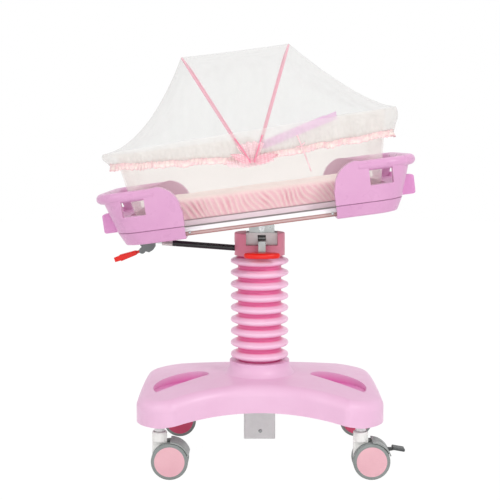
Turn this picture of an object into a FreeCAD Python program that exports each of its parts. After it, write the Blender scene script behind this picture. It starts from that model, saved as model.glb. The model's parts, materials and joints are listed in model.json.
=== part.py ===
import FreeCAD, Part
import math
import os

# Hospital bassinet: clear tub in a tilting tray on a bellows column, with a wheeled base and a net canopy.
# Millimetres, +Z up, +X towards the head end, -Y towards the front.
# The base and column are drawn about the column's axis, with the floor at z = 0.
# The tray, tub and net are drawn level about the tilt pivot, and then tilted and lifted into place.

V = FreeCAD.Vector
Y_AXIS = V(0, 1, 0)
Z_AXIS = V(0, 0, 1)
SIDES = (-1, 1)

# ---- general clearances ----
moving_gap = 0.4          # between pieces that move past each other
running_gap = 0.06        # radial, shaft in bore
reach = 2000              # long enough to cut through the whole object

# ---- casters ----
wheel_radius = 50
wheel_width = 22
wheel_inner_face = 9.5    # from the caster's mid plane to a wheel
disc_radius = 41
tyre_edge_radius = 4
axle_radius = 5
caster_trail = 28
caster_spacing_x = 545    # between stem axes
caster_side_inset = 40.5  # from the base's front and back to the stem axes
caster_height = 128       # floor to the top of the housing
neck_radius = 19.5
neck_thickness = 18
web_radius = 31
stem_radius = 5.5
stem_length = 52
guard_gap = 1.5
guard_wall = 3.5
guard_start_angle = 18    # degrees above level, on the trailing side
guard_end_angle = 88
pedal_length = 34
pedal_width = 30
pedal_thickness = 8
pedal_arm_width = 6
pedal_arm_half = 5        # half its depth at the pin
pedal_rest_angle = 10     # degrees below level
pedal_pin_radius = 2.5
pedal_pin_out = 31        # pin's place from the wheel centre
pedal_pin_up = 26

# ---- base ----
base_half_length = 340
base_half_width = 246
base_waist_depth = 76     # how far the front and back curve in at the middle
base_lobe = 228           # where the concave front meets the rounded corner
base_corner_depth = 96    # from the front to where the rounded corner meets the straight side
base_bottom = 144
base_top = 248
base_arch_top = 167       # lower edge at the middle of the front
base_arch_radius = 1600
base_dome_radius = 1900
base_edge_radius = 30
base_lobe_radius = 34
base_wall = 4
cover_post_radius = 9
cover_post_depth = 66     # from the front to the posts inside the cover, which stand on the frame's end tubes
boss_radius = 86
boss_top = 281
boss_foot_radius = 128
recess_depth = 27
recess_corner = (286, -150)
recess_outer = (296, -70)
recess_back = (212, 24)
recess_inner = (158, 10)
recess_tip = (146, -28)
frame_tube_height = 30
frame_tube_width = 40
frame_tube_wall = 2.5
frame_bottom = 168
socket_radius = 14

# ---- column ----
foot_width = 90
foot_wall = 4
foot_bottom = 58
foot_screw_height = 81
foot_screw_radius = 3.2
outer_tube_width = 80
outer_tube_wall = 3
outer_tube_corner = 10
outer_tube_top = 496
inner_tube_width = 60
inner_tube_wall = 3
inner_tube_corner = 7
inner_tube_guided = 104   # left inside the outer tube when fully raised
bush_length = 60
bush_flange = 4
lift_down = 50            # travel below the height drawn
lift_up = 160             # travel above it
lift_cylinder_radius = 14
lift_cylinder_wall = 3
lift_cylinder_plate = 6
lift_rod_radius = 5
lift_piston_length = 14
lift_end_gap = 16         # piston to the cylinder's end, fully lowered
bellows_outer_radius = 83
bellows_neck_radius = 62
bellows_wall = 4
bellows_rings = 9
groove_width = 9
head_radius = 72
head_bottom = 586
head_height = 64
head_wall = 5
head_collar = 5           # ring that the bellows' top neck seats under
notch_width = 89
notch_depth = 33
top_plate = 8

# ---- tilt pivot ----
pivot_x = 5.7
pivot_rise = 47.6         # above the notch's floor
tilt_angle = 7.5          # degrees at which the tray stands
pivot_radius = 6
bracket_plate = 5
bracket_half_depth = 36
bracket_side_height = 34
ear_width = 72
ear_rise = 13             # above the pivot
ear_corner = 9
ear_plate = 5
lug_plate = 5
lug_radius = 14
bolt_head_radius = 9
bolt_head_height = 5

# ---- height release paddle ----
paddle_pivot_y = -12
paddle_pivot_rise = 17    # above the notch's floor
paddle_pin_radius = 3
paddle_arm_width = 20
paddle_arm_plate = 4
paddle_arm_front = -84
paddle_grip_drop = 40     # below the paddle's pivot
paddle_grip_width = 100
paddle_grip_depth = 46
paddle_grip_thickness = 15

# ---- tilt gas spring ----
spring_pin_x = -54
spring_pin_drop = 46      # below the column head's top
spring_slope = 4.3        # degrees, rising towards the release head
spring_pin_radius = 4
spring_eye_radius = 9
spring_eye_width = 14
clevis_plate = 4
spring_tube_radius = 8.6
spring_tube_wall = 2
spring_tube_length = 174
spring_collar_length = 30
spring_rod_radius = 4
spring_rod_inside = 120   # rod left inside the tube
spring_slot_below = 13     # the head's slot, below and above the spring's pin
spring_slot_above = 18
release_pin_x = -332
release_pin_rise = 13     # above the spring's other pin
release_pin_radius = 4
release_head_width = 22
release_fork_gap = 9
release_slot_reach = 20   # depth of the head's slots, from their pins
release_lug_width = 6
open_pivot_gap = 2.6      # play at the pivot that closes the tilt linkage
lever_pin_x = -335
lever_pin_drop = 19       # below the release head's pin
lever_pin_radius = 3
lever_angle = 19          # degrees below level
lever_length = 84
lever_root_height = 12
lever_tip_height = 19
lever_width = 22
lever_stub = 16

# ---- tray, level, about the pivot ----
rail_width = 25
rail_wall = 2
rail_height = 16
rail_bottom = 20
rail_half_spacing = 190
rail_end_gap = 1          # to the end mouldings' walls
centre_beam_width = 92
screw_radius = 4
screw_x = 191
pan_wall = 2
pan_lip = 6
pan_half_length = 340
pan_half_width = 203
shroud_inner_x = 201
shroud_bottom = 14
shroud_split = 48
shroud_groove = 2
shroud_wall = 4
shroud_end_wall = 8       # thickness of the edge that faces the tub's middle
tongue_thickness = 2.4
shroud_bottom_half = (368, 228)
shroud_split_half = (384, 237)
shroud_rim_half = (418, 247)
shroud_corner = 72
shroud_rim = 160
shroud_void_half = (346, 207)
shroud_void_corner = 50
shroud_sill = 91          # lower edge of the hand holes
panel_crest_x = 262       # where the inner edge's curve reaches the top
hole_start = 296
hole_end = 358
post_half_y = 152         # the end opening's half width
post_width = 24
bar_radius = 14
bar_height = 144
bar_end_inset = 1         # from the mouldings' rim to the bar's middle
bar_side_inset = 14
bar_corner = 78
bumper_y = 132
bumper_width = 46
bumper_proud = 6.5        # beyond the moulding's rim
bumper_low = 50
bumper_high = 102
bumper_corner = 8

# ---- tub, level, about the pivot ----
tub_bottom_half = (330, 165)
tub_top_half = (371, 197)
tub_bottom_corner = 45
tub_top_corner = 62
tub_floor = 38.5
tub_wall = 4
tub_foot_rim = 256
tub_head_rim = 284
tub_dip = 231
tub_dip_start_x = 2
tub_dip_x = 34
tub_head_start_x = 232
flange_reach = 13
flange_thickness = 5
guard_band = 20
guard_cover = 3
board_thickness = 13
mattress_half = (318, 156)
mattress_corner = 50
mattress_height = 60
mattress_edge = 12

# ---- net canopy, level, about the pivot ----
net_end_reach = 23        # beyond the tub's rim
net_side_reach = 27.5
net_wall = 2.5
net_hoop_gap = 0.6
net_hem_foot = 226
net_hem_middle = 200
net_hem_head = 219
net_foot_shoulder = 262
net_head_shoulder = 286
net_corner = 45
net_foot_sag = (-276, 324)
net_head_sag = (262, 374)
ruffle_height = 22
ruffle_depth = 7
hoop_radius = 2.6
hoop_side_reach = 20.6    # beyond the tub's rim
hoop_top_corner = 70
hoop_eye_radius = 6
hoop_eye_width = 5.6
hoop_pin_radius = 2
hoop_pivot_z = 193
left_hoop_x = -13
left_hoop_lean = 25.3
left_hoop_height = 293
right_hoop_x = 9
right_hoop_lean = 23.1
right_hoop_height = 291
clip_plate = 3
clip_width = 34
bow_width = 152
bow_height = 44
bow_depth = 14.6
bow_gap = 0.4
bow_knot = 26

# ---- worked out ----
base_waist = base_half_width - base_waist_depth
base_corner_y = base_half_width - base_corner_depth
cover_post_y = base_half_width - cover_post_depth
caster_spacing_y = 2 * (base_half_width - caster_side_inset)
head_top = head_bottom + head_height
notch_floor = head_top - notch_depth
pivot_height = notch_floor + pivot_rise
paddle_pivot_height = notch_floor + paddle_pivot_rise
paddle_grip_height = paddle_pivot_height - paddle_grip_drop
spring_pin_height = head_top - spring_pin_drop
release_pin_height = spring_pin_height + release_pin_rise
lever_pin_height = release_pin_height - lever_pin_drop
bumper_reach = shroud_rim_half[0] + bumper_proud
bar_half_length = shroud_rim_half[0] - bar_end_inset
bar_half_width = shroud_rim_half[1] - bar_side_inset
net_half_length = tub_top_half[0] + net_end_reach
net_half_width = tub_top_half[1] + net_side_reach
hoop_y = tub_top_half[1] + hoop_side_reach
tub_depth = tub_head_rim - tub_floor
rail_top = rail_bottom + rail_height
tongue_face = shroud_wall + 0.1
tongue_back = tongue_face + tongue_thickness
rail_half_length = shroud_bottom_half[0] - tongue_back - rail_end_gap
shroud_floor = rail_bottom - shroud_bottom
pan_floor = rail_top
ear_outer_y = bracket_half_depth - bracket_plate
ear_inner_y = ear_outer_y - ear_plate
lug_outer_y = ear_inner_y - moving_gap
nodes = {}


def block(x, y, z):
    return Part.makeBox(x[1] - x[0], y[1] - y[0], z[1] - z[0], V(x[0], y[0], z[0]))


def rod(radius, start, end):
    along = end.sub(start)
    return Part.makeCylinder(radius, along.Length, start, along)


def pin_y(radius, x, z, half_length):
    return rod(radius, V(x, -half_length, z), V(x, half_length, z))


def fused(shapes):
    return shapes[0].multiFuse(shapes[1:]).removeSplitter() if len(shapes) > 1 else shapes[0]


def mirrored_x(shape):
    return shape.mirror(V(0, 0, 0), V(1, 0, 0))


def rounded_wire(half, corner, z, centre_x=0):
    """Rounded rectangle about the X axis, at height z."""
    hx, hy = half
    bend = corner * (1 - math.sqrt(0.5))
    edges = []
    turns = [(1, -1), (1, 1), (-1, 1), (-1, -1)]
    arcs = []
    for sx, sy in turns:
        ends = [V(centre_x + sx * hx, sy * (hy - corner), z), V(centre_x + sx * (hx - corner), sy * hy, z)]
        if sx != -sy:
            start, end = ends
        else:
            end, start = ends
        middle = V(centre_x + sx * (hx - bend), sy * (hy - bend), z)
        arcs.append((start, middle, end))
    for i, (start, middle, end) in enumerate(arcs):
        edges.append(Part.Arc(start, middle, end).toShape())
        edges.append(Part.LineSegment(end, arcs[(i + 1) % 4][0]).toShape())
    return Part.Wire(edges)


def rounded_slab(half, corner, z, centre_x=0):
    wire = rounded_wire(half, corner, z[0], centre_x)
    return Part.Face(wire).extrude(V(0, 0, z[1] - z[0]))


def taper(lower, lower_corner, upper, upper_corner, z):
    wires = [rounded_wire(lower, lower_corner, z[0]), rounded_wire(upper, upper_corner, z[1])]
    return Part.makeLoft(wires, True, True)


def square_tube(width, wall, corner, z):
    outer = rounded_slab((width / 2, width / 2), corner, z)
    inside = width / 2 - wall
    return outer.cut(rounded_slab((inside, inside), corner - wall, z))


def profile_wire(points):
    """Closed wire in the XZ plane. A point given with a third value is the middle of an arc."""
    edges = []
    start = V(points[0][0], 0, points[0][1])
    first, middle = start, None
    for point in points[1:] + [points[0]]:
        here = V(point[0], 0, point[1])
        if len(point) > 2:
            middle = here
            continue
        if middle:
            edges.append(Part.Arc(start, middle, here).toShape())
        else:
            edges.append(Part.LineSegment(start, here).toShape())
        start, middle = here, None
    return Part.Wire(edges)


def profile(points, y):
    """The XZ outline, thickened from y[0] to y[1]."""
    face = Part.Face(profile_wire(points))
    face.translate(V(0, y[0], 0))
    return face.extrude(V(0, y[1] - y[0], 0))


def fillet_where(shape, radius, wanted):
    return shape.makeFillet(radius, [edge for edge in shape.Edges if wanted(edge)])


def in_tray(shape):
    """Tilts a level tray piece about the pivot and lifts it to its height."""
    placed = shape.copy()
    placed.rotate(V(0, 0, 0), Y_AXIS, -tilt_angle)
    placed.translate(V(pivot_x, 0, pivot_height))
    return placed


# ---- casters ----
def caster_pieces(with_pedal):
    centre = V(caster_trail, 0, wheel_radius)
    half_neck = neck_thickness / 2
    neck = rod(neck_radius, V(0, 0, 2 * wheel_radius + guard_gap), V(0, 0, caster_height))
    neck = fillet_where(neck, 3, lambda e: e.BoundBox.ZMin > caster_height - 1)
    shank = block((-neck_radius, neck_radius), (-half_neck, half_neck), (wheel_radius, caster_height - 4))
    web = pin_y(web_radius, centre.x, centre.z, half_neck)
    axle = pin_y(axle_radius, centre.x, centre.z, wheel_inner_face + wheel_width - 4)
    stem = rod(stem_radius, V(0, 0, caster_height - 4), V(0, 0, caster_height + stem_length))
    housing_parts = [neck, shank, web, axle, stem]
    pin = V(centre.x + pedal_pin_out, 0, centre.z + pedal_pin_up)
    if with_pedal:
        lug = pin_y(7, pin.x, pin.z, half_neck)
        arm = block((centre.x, pin.x), (-half_neck, half_neck), (pin.z - 7, pin.z + 7))
        housing_parts += [arm, lug]
    housing = fused(housing_parts)

    guard_inner = wheel_radius + guard_gap
    guard_outer = guard_inner + guard_wall
    guard_half = wheel_inner_face + wheel_width
    guard = pin_y(guard_outer, centre.x, centre.z, guard_half).cut(
        pin_y(guard_inner, centre.x, centre.z, guard_half))
    far = 2 * guard_outer

    def on_ray(degrees):
        angle = math.radians(degrees)
        return centre.x + math.cos(angle) * far, centre.z + math.sin(angle) * far

    spread = [(centre.x, centre.z), on_ray(guard_start_angle), (centre.x + far, centre.z + far),
              on_ray(guard_end_angle)]
    guard = guard.common(profile(spread, (-guard_half, guard_half)))
    rib = pin_y(guard_inner + 1, centre.x, centre.z, half_neck).common(
        profile(spread, (-half_neck, half_neck))).cut(pin_y(web_radius, centre.x, centre.z, half_neck))
    guard = fused([guard, rib]).cut(housing)

    tyres, discs = [], []
    for side in SIDES:
        faces = sorted((side * wheel_inner_face, side * (wheel_inner_face + wheel_width)))
        start, end = V(centre.x, faces[0], centre.z), V(centre.x, faces[1], centre.z)
        tyre = rod(wheel_radius, start, end)
        tyre = fillet_where(tyre, tyre_edge_radius, lambda e: e.Length > 6 * wheel_radius)
        tyres.append(tyre.cut(rod(disc_radius, start, end)))
        disc = rod(disc_radius, start, end)
        bore_depth = wheel_inner_face + wheel_width - 4 + running_gap
        bore = pin_y(axle_radius + running_gap, centre.x, centre.z, bore_depth)
        discs.append(disc.cut(bore))

    pedal = None
    if with_pedal:
        half_arm = pedal_arm_width / 2
        slot = block((pin.x - 2 * pedal_arm_half, far), (-half_arm - moving_gap, half_arm + moving_gap),
                     (0, caster_height)).cut(pin_y(web_radius - 6, centre.x, centre.z, half_neck))
        housing = housing.cut(slot).fuse(pin_y(pedal_pin_radius, pin.x, pin.z, half_neck))
        guard = guard.cut(slot)
        tip = V(centre.x + wheel_radius + pedal_length / 2 + 6, 0, pin.z + 11)
        arm = profile([(pin.x - pedal_arm_half, pin.z - pedal_arm_half), (pin.x + pedal_arm_half, pin.z - pedal_arm_half),
                       (tip.x, tip.z - 3), (tip.x, tip.z + 3), (pin.x - pedal_arm_half, pin.z + pedal_arm_half)],
                      (-half_arm, half_arm))
        pad = block((tip.x - pedal_length / 2, tip.x + pedal_length / 2),
                    (-pedal_width / 2, pedal_width / 2),
                    (tip.z - pedal_thickness / 2, tip.z + pedal_thickness / 2))
        pedal = fused([arm, fillet_where(pad, 3, lambda e: True)]).cut(
            pin_y(pedal_pin_radius + running_gap, pin.x, pin.z, half_neck))
        pedal.rotate(pin, Y_AXIS, pedal_rest_angle)
    return housing, guard, Part.makeCompound(tyres), Part.makeCompound(discs), pedal


caster_places = {
    "front_left": (-1, -1, False),
    "front_right": (1, -1, True),
    "rear_left": (-1, 1, True),
    "rear_right": (1, 1, False),
}
for place, (side_x, side_y, with_pedal) in caster_places.items():
    stand = V(side_x * caster_spacing_x / 2, side_y * caster_spacing_y / 2, 0)
    names = ("housing", "guard", "tyres", "discs", "pedal")
    for name, piece in zip(names, caster_pieces(with_pedal)):
        if piece:
            piece.translate(stand)
            nodes[f"caster_{place}_{name}"] = piece


# ---- base ----
def base_outline(z, inset):
    """Footprint: concave front and back, round corners that run into straight sides."""
    half_length = base_half_length - inset
    half_width = base_half_width - inset
    across = half_length - base_lobe
    deep = half_width - base_corner_y
    radius = (across ** 2 + deep ** 2) / (2 * across)
    centre_x = half_length - radius
    middle = math.atan2(deep, base_lobe - centre_x) / 2
    bend_x = centre_x + radius * math.cos(middle)
    bend_y = base_corner_y + radius * math.sin(middle)
    edges = []
    for side_y in SIDES:
        waist = [V(-base_lobe, side_y * half_width, z), V(0, side_y * (base_waist - inset), z),
                 V(base_lobe, side_y * half_width, z)]
        edges.append(Part.Arc(*waist).toShape())
    for side_x in SIDES:
        for side_y in SIDES:
            corner = [V(side_x * base_lobe, side_y * half_width, z),
                      V(side_x * bend_x, side_y * bend_y, z),
                      V(side_x * half_length, side_y * base_corner_y, z)]
            edges.append(Part.Arc(*corner).toShape())
        edges.append(Part.LineSegment(V(side_x * half_length, -base_corner_y, z),
                                      V(side_x * half_length, base_corner_y, z)).toShape())
    return Part.Wire(Part.__sortEdges__(edges))


def base_form(inset):
    """The cover's outer shape, or with an inset, the space inside it."""
    bottom = base_bottom - (10 if inset else 0)
    height = V(0, 0, base_top + 20 - bottom)
    body = Part.Face(base_outline(bottom, inset)).extrude(height)
    body = fillet_where(body, base_lobe_radius - inset, lambda e: e.BoundBox.ZLength > height.z - 1
                        and abs(abs(e.CenterOfMass.x) - base_lobe) < 1)
    dome = Part.makeSphere(base_dome_radius, V(0, 0, base_top - inset - base_dome_radius))
    body = body.common(dome)
    crest = [e for e in body.Edges if e.BoundBox.ZMin > base_bottom + 30
             and e.BoundBox.ZMax < base_top - inset - 1 and e.BoundBox.ZLength < 40]
    return body.makeFillet(base_edge_radius - inset, crest)


def boss_form(inset):
    """Round seat under the bellows, flaring into the cover's top."""
    low = base_top - 12
    foot = boss_foot_radius - inset
    neck = boss_radius - inset
    top = boss_top - inset
    sweep = Part.Arc(V(neck, 0, top - 8), V(neck + 9, 0, base_top + 4 - inset), V(foot, 0, low)).toShape()
    edges = [Part.LineSegment(V(0, 0, low), V(0, 0, top)).toShape(),
             Part.LineSegment(V(0, 0, top), V(neck, 0, top)).toShape(),
             Part.LineSegment(V(neck, 0, top), V(neck, 0, top - 8)).toShape(),
             sweep,
             Part.LineSegment(V(foot, 0, low), V(0, 0, low)).toShape()]
    return Part.Face(Part.Wire(edges)).revolve(V(0, 0, 0), Z_AXIS, 360)


def recess(side, grow):
    """Storage recess, or with grow, the block that its walls and floor need."""
    def at(point):
        return V(side * point[0], point[1], 0)
    back_middle = (recess_outer[0], recess_outer[1])
    edges = [Part.Arc(at(recess_corner), at(back_middle), at(recess_back)).toShape(),
             Part.Arc(at(recess_back), at(recess_inner), at(recess_tip)).toShape(),
             Part.LineSegment(at(recess_tip), at(recess_corner)).toShape()]
    outline = Part.Wire(edges)
    if grow:
        outline = outline.makeOffset2D(grow)
    floor = base_top - 12 - recess_depth - grow
    solid = Part.Face(outline).extrude(V(0, 0, 100))
    solid.translate(V(0, 0, floor))
    return solid


frame_z = (frame_bottom, frame_bottom + frame_tube_height)
frame_half_x = caster_spacing_x / 2
frame_half_y = caster_spacing_y / 2
cover = base_form(0).fuse(boss_form(0))
hollow = base_form(base_wall).fuse(boss_form(base_wall))
for side in SIDES:
    cover = cover.cut(recess(side, 0))
    hollow = hollow.cut(recess(side, base_wall))
    for side_y in SIDES:
        x, y = side * frame_half_x, side_y * cover_post_y
        hollow = hollow.cut(rod(cover_post_radius, V(x, y, frame_z[1]), V(x, y, base_top)))
arch = Part.makeCylinder(base_arch_radius, reach, V(0, -reach / 2, base_arch_top - base_arch_radius), Y_AXIS)
cover = cover.cut(hollow).cut(arch)
tube_hole = bellows_neck_radius - bellows_wall
nodes["base_cover"] = cover.cut(rod(tube_hole, V(0, 0, base_top), V(0, 0, boss_top + 1)))



def frame_tubes(inset):
    """Two tubes across the ends, joined by two beams beside the column; with an inset, the space in them."""
    z = (frame_z[0] + inset, frame_z[1] - inset)
    half = frame_tube_width / 2 - inset
    beam_start = foot_width / 2 + inset
    beam_end = foot_width / 2 + frame_tube_width - inset
    tubes = []
    for side in SIDES:
        x = side * frame_half_x
        tubes.append(block((x - half, x + half), (-frame_half_y + inset, frame_half_y - inset), z))
        beam_y = sorted((side * beam_start, side * beam_end))
        tubes.append(block((-frame_half_x, frame_half_x), beam_y, z))
    return fused(tubes)


frame_parts = [frame_tubes(0).cut(frame_tubes(frame_tube_wall))]
socket_bottom = caster_height + 1
for side_x in SIDES:
    for side_y in SIDES:
        x, y = side_x * frame_half_x, side_y * frame_half_y
        frame_parts.append(rod(socket_radius, V(x, y, socket_bottom), V(x, y, frame_z[1])))
base_frame = fused(frame_parts)
for side_x in SIDES:
    for side_y in SIDES:
        x, y = side_x * frame_half_x, side_y * frame_half_y
        base_frame = base_frame.cut(rod(stem_radius + running_gap, V(x, y, 0),
                                        V(x, y, caster_height + stem_length + 1)))
nodes["base_frame"] = base_frame

# ---- column, fixed part ----
half_foot = foot_width / 2
foot_shell = rounded_slab((half_foot, half_foot), 5, (foot_bottom, frame_z[1]))
foot_inside = outer_tube_width / 2
foot_shell = foot_shell.cut(rounded_slab((foot_inside, foot_inside), outer_tube_corner,
                                         (foot_bottom + foot_wall, frame_z[1])))
screw_axis = V(2, -half_foot, foot_screw_height)
screw_end = V(2, -half_foot + foot_wall, foot_screw_height)
foot_shell = foot_shell.cut(rod(foot_screw_radius, screw_axis, screw_end))
nodes["column_foot"] = foot_shell
screw_head = Part.makeSphere(foot_screw_radius * 2, V(2, -half_foot + foot_screw_radius, foot_screw_height)).common(
    block((-10, 14), (-half_foot - 8, -half_foot), (foot_screw_height - 10, foot_screw_height + 10)))
nodes["foot_screw"] = screw_head.fuse(rod(foot_screw_radius, screw_axis, screw_end))
nodes["outer_column"] = square_tube(outer_tube_width, outer_tube_wall, outer_tube_corner,
                                    (foot_bottom + foot_wall, outer_tube_top))
bush_outer = outer_tube_width / 2 - outer_tube_wall
bush_inner = inner_tube_width / 2 + moving_gap
flange_outer = outer_tube_width / 2
bush = rounded_slab((bush_outer, bush_outer), outer_tube_corner - outer_tube_wall,
                    (outer_tube_top - bush_length, outer_tube_top))
bush = bush.fuse(rounded_slab((flange_outer, flange_outer), outer_tube_corner,
                              (outer_tube_top, outer_tube_top + bush_flange)))
nodes["column_bush"] = bush.cut(rounded_slab((bush_inner, bush_inner), inner_tube_corner,
                                             (outer_tube_top - bush_length, outer_tube_top + bush_flange)))
cylinder_bottom = foot_bottom + foot_wall
bore_bottom = cylinder_bottom + lift_cylinder_plate
piston_bottom = bore_bottom + lift_end_gap + lift_down
piston_top = piston_bottom + lift_piston_length
bore_top = piston_top + lift_up + 2 * lift_end_gap
cylinder_top = bore_top + 2 * lift_cylinder_wall
spring_bore = lift_cylinder_radius - lift_cylinder_wall
lift_cylinder = rod(lift_cylinder_radius, V(0, 0, cylinder_bottom), V(0, 0, cylinder_top))
lift_cylinder = lift_cylinder.cut(rod(spring_bore, V(0, 0, bore_bottom), V(0, 0, bore_top)))
lift_cylinder = lift_cylinder.cut(rod(lift_rod_radius + running_gap, V(0, 0, bore_top), V(0, 0, cylinder_top)))
bottom_plate = rounded_slab((bush_outer, bush_outer), outer_tube_corner - outer_tube_wall,
                            (cylinder_bottom, bore_bottom))
nodes["lift_spring_cylinder"] = lift_cylinder.fuse(bottom_plate)

# ---- column, moving part ----
inner_tube_bottom = outer_tube_top - lift_up - inner_tube_guided
inner_column = square_tube(inner_tube_width, inner_tube_wall, inner_tube_corner, (inner_tube_bottom, notch_floor))
half_inner = inner_tube_width / 2
plate_z = (notch_floor - top_plate, notch_floor)
inner_column = inner_column.fuse(rounded_slab((half_inner, half_inner), inner_tube_corner, plate_z))
nodes["inner_column"] = inner_column.cut(rod(3.5, V(0, 0, plate_z[0]), V(0, 0, plate_z[1])))
lift_rod = rod(lift_rod_radius, V(0, 0, piston_bottom), V(0, 0, plate_z[0]))
piston = rod(spring_bore - running_gap, V(0, 0, piston_bottom), V(0, 0, piston_top))
release_pin = rod(2.5, V(0, 0, plate_z[0] - 1), V(0, 0, notch_floor + bracket_plate + 3))
nodes["lift_spring_rod"] = fused([lift_rod, piston, release_pin])


def bellows_form():
    pitch = (head_bottom - boss_top) / bellows_rings
    bulge = (pitch - groove_width) / 2
    shoulder = bellows_outer_radius - bulge
    bore = bellows_neck_radius - bellows_wall

    def turned(edges):
        return Part.Face(Part.Wire(edges)).revolve(V(0, 0, 0), Z_AXIS, 360)

    def ring_edges(middle, inner, inset):
        low, high = middle - bulge + inset, middle + bulge - inset
        return [Part.LineSegment(V(inner, 0, low), V(shoulder, 0, low)).toShape(),
                Part.Arc(V(shoulder, 0, low), V(bellows_outer_radius - inset, 0, middle),
                         V(shoulder, 0, high)).toShape(),
                Part.LineSegment(V(shoulder, 0, high), V(inner, 0, high)).toShape()]

    middles = [boss_top + (ring + 0.5) * pitch for ring in range(bellows_rings)]
    edges = [Part.LineSegment(V(bore, 0, boss_top), V(bellows_neck_radius, 0, boss_top)).toShape()]
    groove_start = boss_top
    for middle in middles:
        edges.append(Part.LineSegment(V(bellows_neck_radius, 0, groove_start),
                                      V(bellows_neck_radius, 0, middle - bulge)).toShape())
        edges += ring_edges(middle, bellows_neck_radius, 0)
        groove_start = middle + bulge
    edges += [Part.LineSegment(V(bellows_neck_radius, 0, groove_start), V(bellows_neck_radius, 0, head_bottom)).toShape(),
              Part.LineSegment(V(bellows_neck_radius, 0, head_bottom), V(bore, 0, head_bottom)).toShape(),
              Part.LineSegment(V(bore, 0, head_bottom), V(bore, 0, boss_top)).toShape()]
    bellows = turned(edges)
    for middle in middles:
        pocket = ring_edges(middle, bore, bellows_wall)
        closing = Part.LineSegment(pocket[2].Vertexes[-1].Point, pocket[0].Vertexes[0].Point).toShape()
        bellows = bellows.cut(turned(pocket + [closing]))
    return bellows


nodes["bellows"] = bellows_form()

head = rod(head_radius, V(0, 0, head_bottom), V(0, 0, head_top))
head = fillet_where(head, 3, lambda e: e.BoundBox.ZMin > head_top - 1 and e.Length > 300)
head_cavity = rod(head_radius - head_wall, V(0, 0, head_bottom + head_collar), V(0, 0, notch_floor - head_wall))
head_cavity = head_cavity.fuse(rod(bellows_neck_radius - bellows_wall, V(0, 0, head_bottom),
                                   V(0, 0, head_bottom + head_collar)))
head_hub = rounded_slab((half_inner + head_wall, half_inner + head_wall), inner_tube_corner + head_wall,
                        (head_bottom, notch_floor - head_wall))
head = head.cut(head_cavity.cut(head_hub))
head = head.cut(rounded_slab((half_inner, half_inner), inner_tube_corner, (head_bottom, notch_floor)))
head = head.cut(block((pivot_x - notch_width / 2, pivot_x + notch_width / 2), (-reach, reach),
                      (notch_floor, head_top)))
slot_half = spring_eye_width / 2 + clevis_plate + 2
slot_z = (spring_pin_height - spring_slot_below, spring_pin_height + spring_slot_above)
head = head.cut(block((-head_radius - 1, -half_inner), (-slot_half, slot_half), slot_z))
nodes["column_head"] = head

bracket_half_x = (notch_width - 1) / 2
bracket_x = (pivot_x - bracket_half_x, pivot_x + bracket_half_x)
bracket_depth = (-bracket_half_depth, bracket_half_depth)
plate_top = notch_floor + bracket_plate
bracket = block(bracket_x, bracket_depth, (notch_floor, notch_floor + bracket_side_height))
bracket = bracket.cut(block((-reach, reach), (-ear_outer_y, ear_outer_y), (plate_top, reach)))
window_half = paddle_arm_width / 2 + 1.5
bracket = bracket.cut(block((pivot_x - window_half, pivot_x + window_half), (-reach, 0),
                            (plate_top, paddle_pivot_height + 11)))
for side in SIDES:
    lug_x = sorted((pivot_x + side * (window_half + 0.5), pivot_x + side * (window_half + 4.5)))
    lug = block(lug_x, (paddle_pivot_y - 7, paddle_pivot_y + 7), (plate_top, paddle_pivot_height + 6))
    bracket = bracket.fuse(lug)
paddle_pivot_half = window_half + 4.5
paddle_pin = rod(paddle_pin_radius, V(pivot_x - paddle_pivot_half, paddle_pivot_y, paddle_pivot_height),
                 V(pivot_x + paddle_pivot_half, paddle_pivot_y, paddle_pivot_height))
bracket = bracket.cut(rod(3.5, V(0, 0, notch_floor), V(0, 0, plate_top)))
nodes["head_bracket"] = bracket.fuse(paddle_pin).removeSplitter()

ears = []
for side in SIDES:
    faces = sorted((side * ear_inner_y, side * ear_outer_y))
    ear_z = (plate_top, pivot_height + ear_rise)
    ear = block((pivot_x - ear_width / 2, pivot_x + ear_width / 2), faces, ear_z)
    ear = fillet_where(ear, ear_corner, lambda e: e.BoundBox.ZMin > ear_z[1] - 0.1 and e.BoundBox.XLength < 0.1)
    window = block((pivot_x - window_half, pivot_x + window_half), (-reach, 0),
                   (plate_top, paddle_pivot_height + 11))
    ears.append(ear.cut(pin_y(pivot_radius, pivot_x, pivot_height, ear_outer_y)).cut(window))
nodes["tilt_ears"] = Part.makeCompound(ears)

bolt = pin_y(pivot_radius, pivot_x, pivot_height, ear_outer_y)
bolt_parts = [bolt]
for side in SIDES:
    start = V(pivot_x, side * ear_outer_y, pivot_height)
    end = V(pivot_x, side * (ear_outer_y + bolt_head_height), pivot_height)
    bolt_parts.append(rod(bolt_head_radius, start, end))
nodes["pivot_bolt"] = fused(bolt_parts)

# ---- height release paddle ----
arm_x = (pivot_x - paddle_arm_width / 2, pivot_x + paddle_arm_width / 2)
arm_low = paddle_pivot_height - paddle_pin_radius - paddle_arm_plate
knuckle = rod(paddle_pin_radius + paddle_arm_plate, V(arm_x[0], paddle_pivot_y, paddle_pivot_height),
              V(arm_x[1], paddle_pivot_y, paddle_pivot_height))
arm = block(arm_x, (paddle_arm_front, paddle_pivot_y), (arm_low, arm_low + paddle_arm_plate))
drop = block(arm_x, (paddle_arm_front, paddle_arm_front + paddle_arm_plate),
             (paddle_grip_height, arm_low + paddle_arm_plate))
shelf = block(arm_x, (paddle_arm_front - 22, paddle_arm_front + paddle_arm_plate),
              (paddle_grip_height - paddle_arm_plate / 2, paddle_grip_height + paddle_arm_plate / 2))
paddle_arm = fused([knuckle, arm, drop, shelf])
nodes["paddle_arm"] = paddle_arm.cut(rod(paddle_pin_radius + running_gap,
                                         V(arm_x[0], paddle_pivot_y, paddle_pivot_height),
                                         V(arm_x[1], paddle_pivot_y, paddle_pivot_height)))
grip_centre_y = paddle_arm_front - paddle_grip_depth / 2 + paddle_arm_plate
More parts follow.
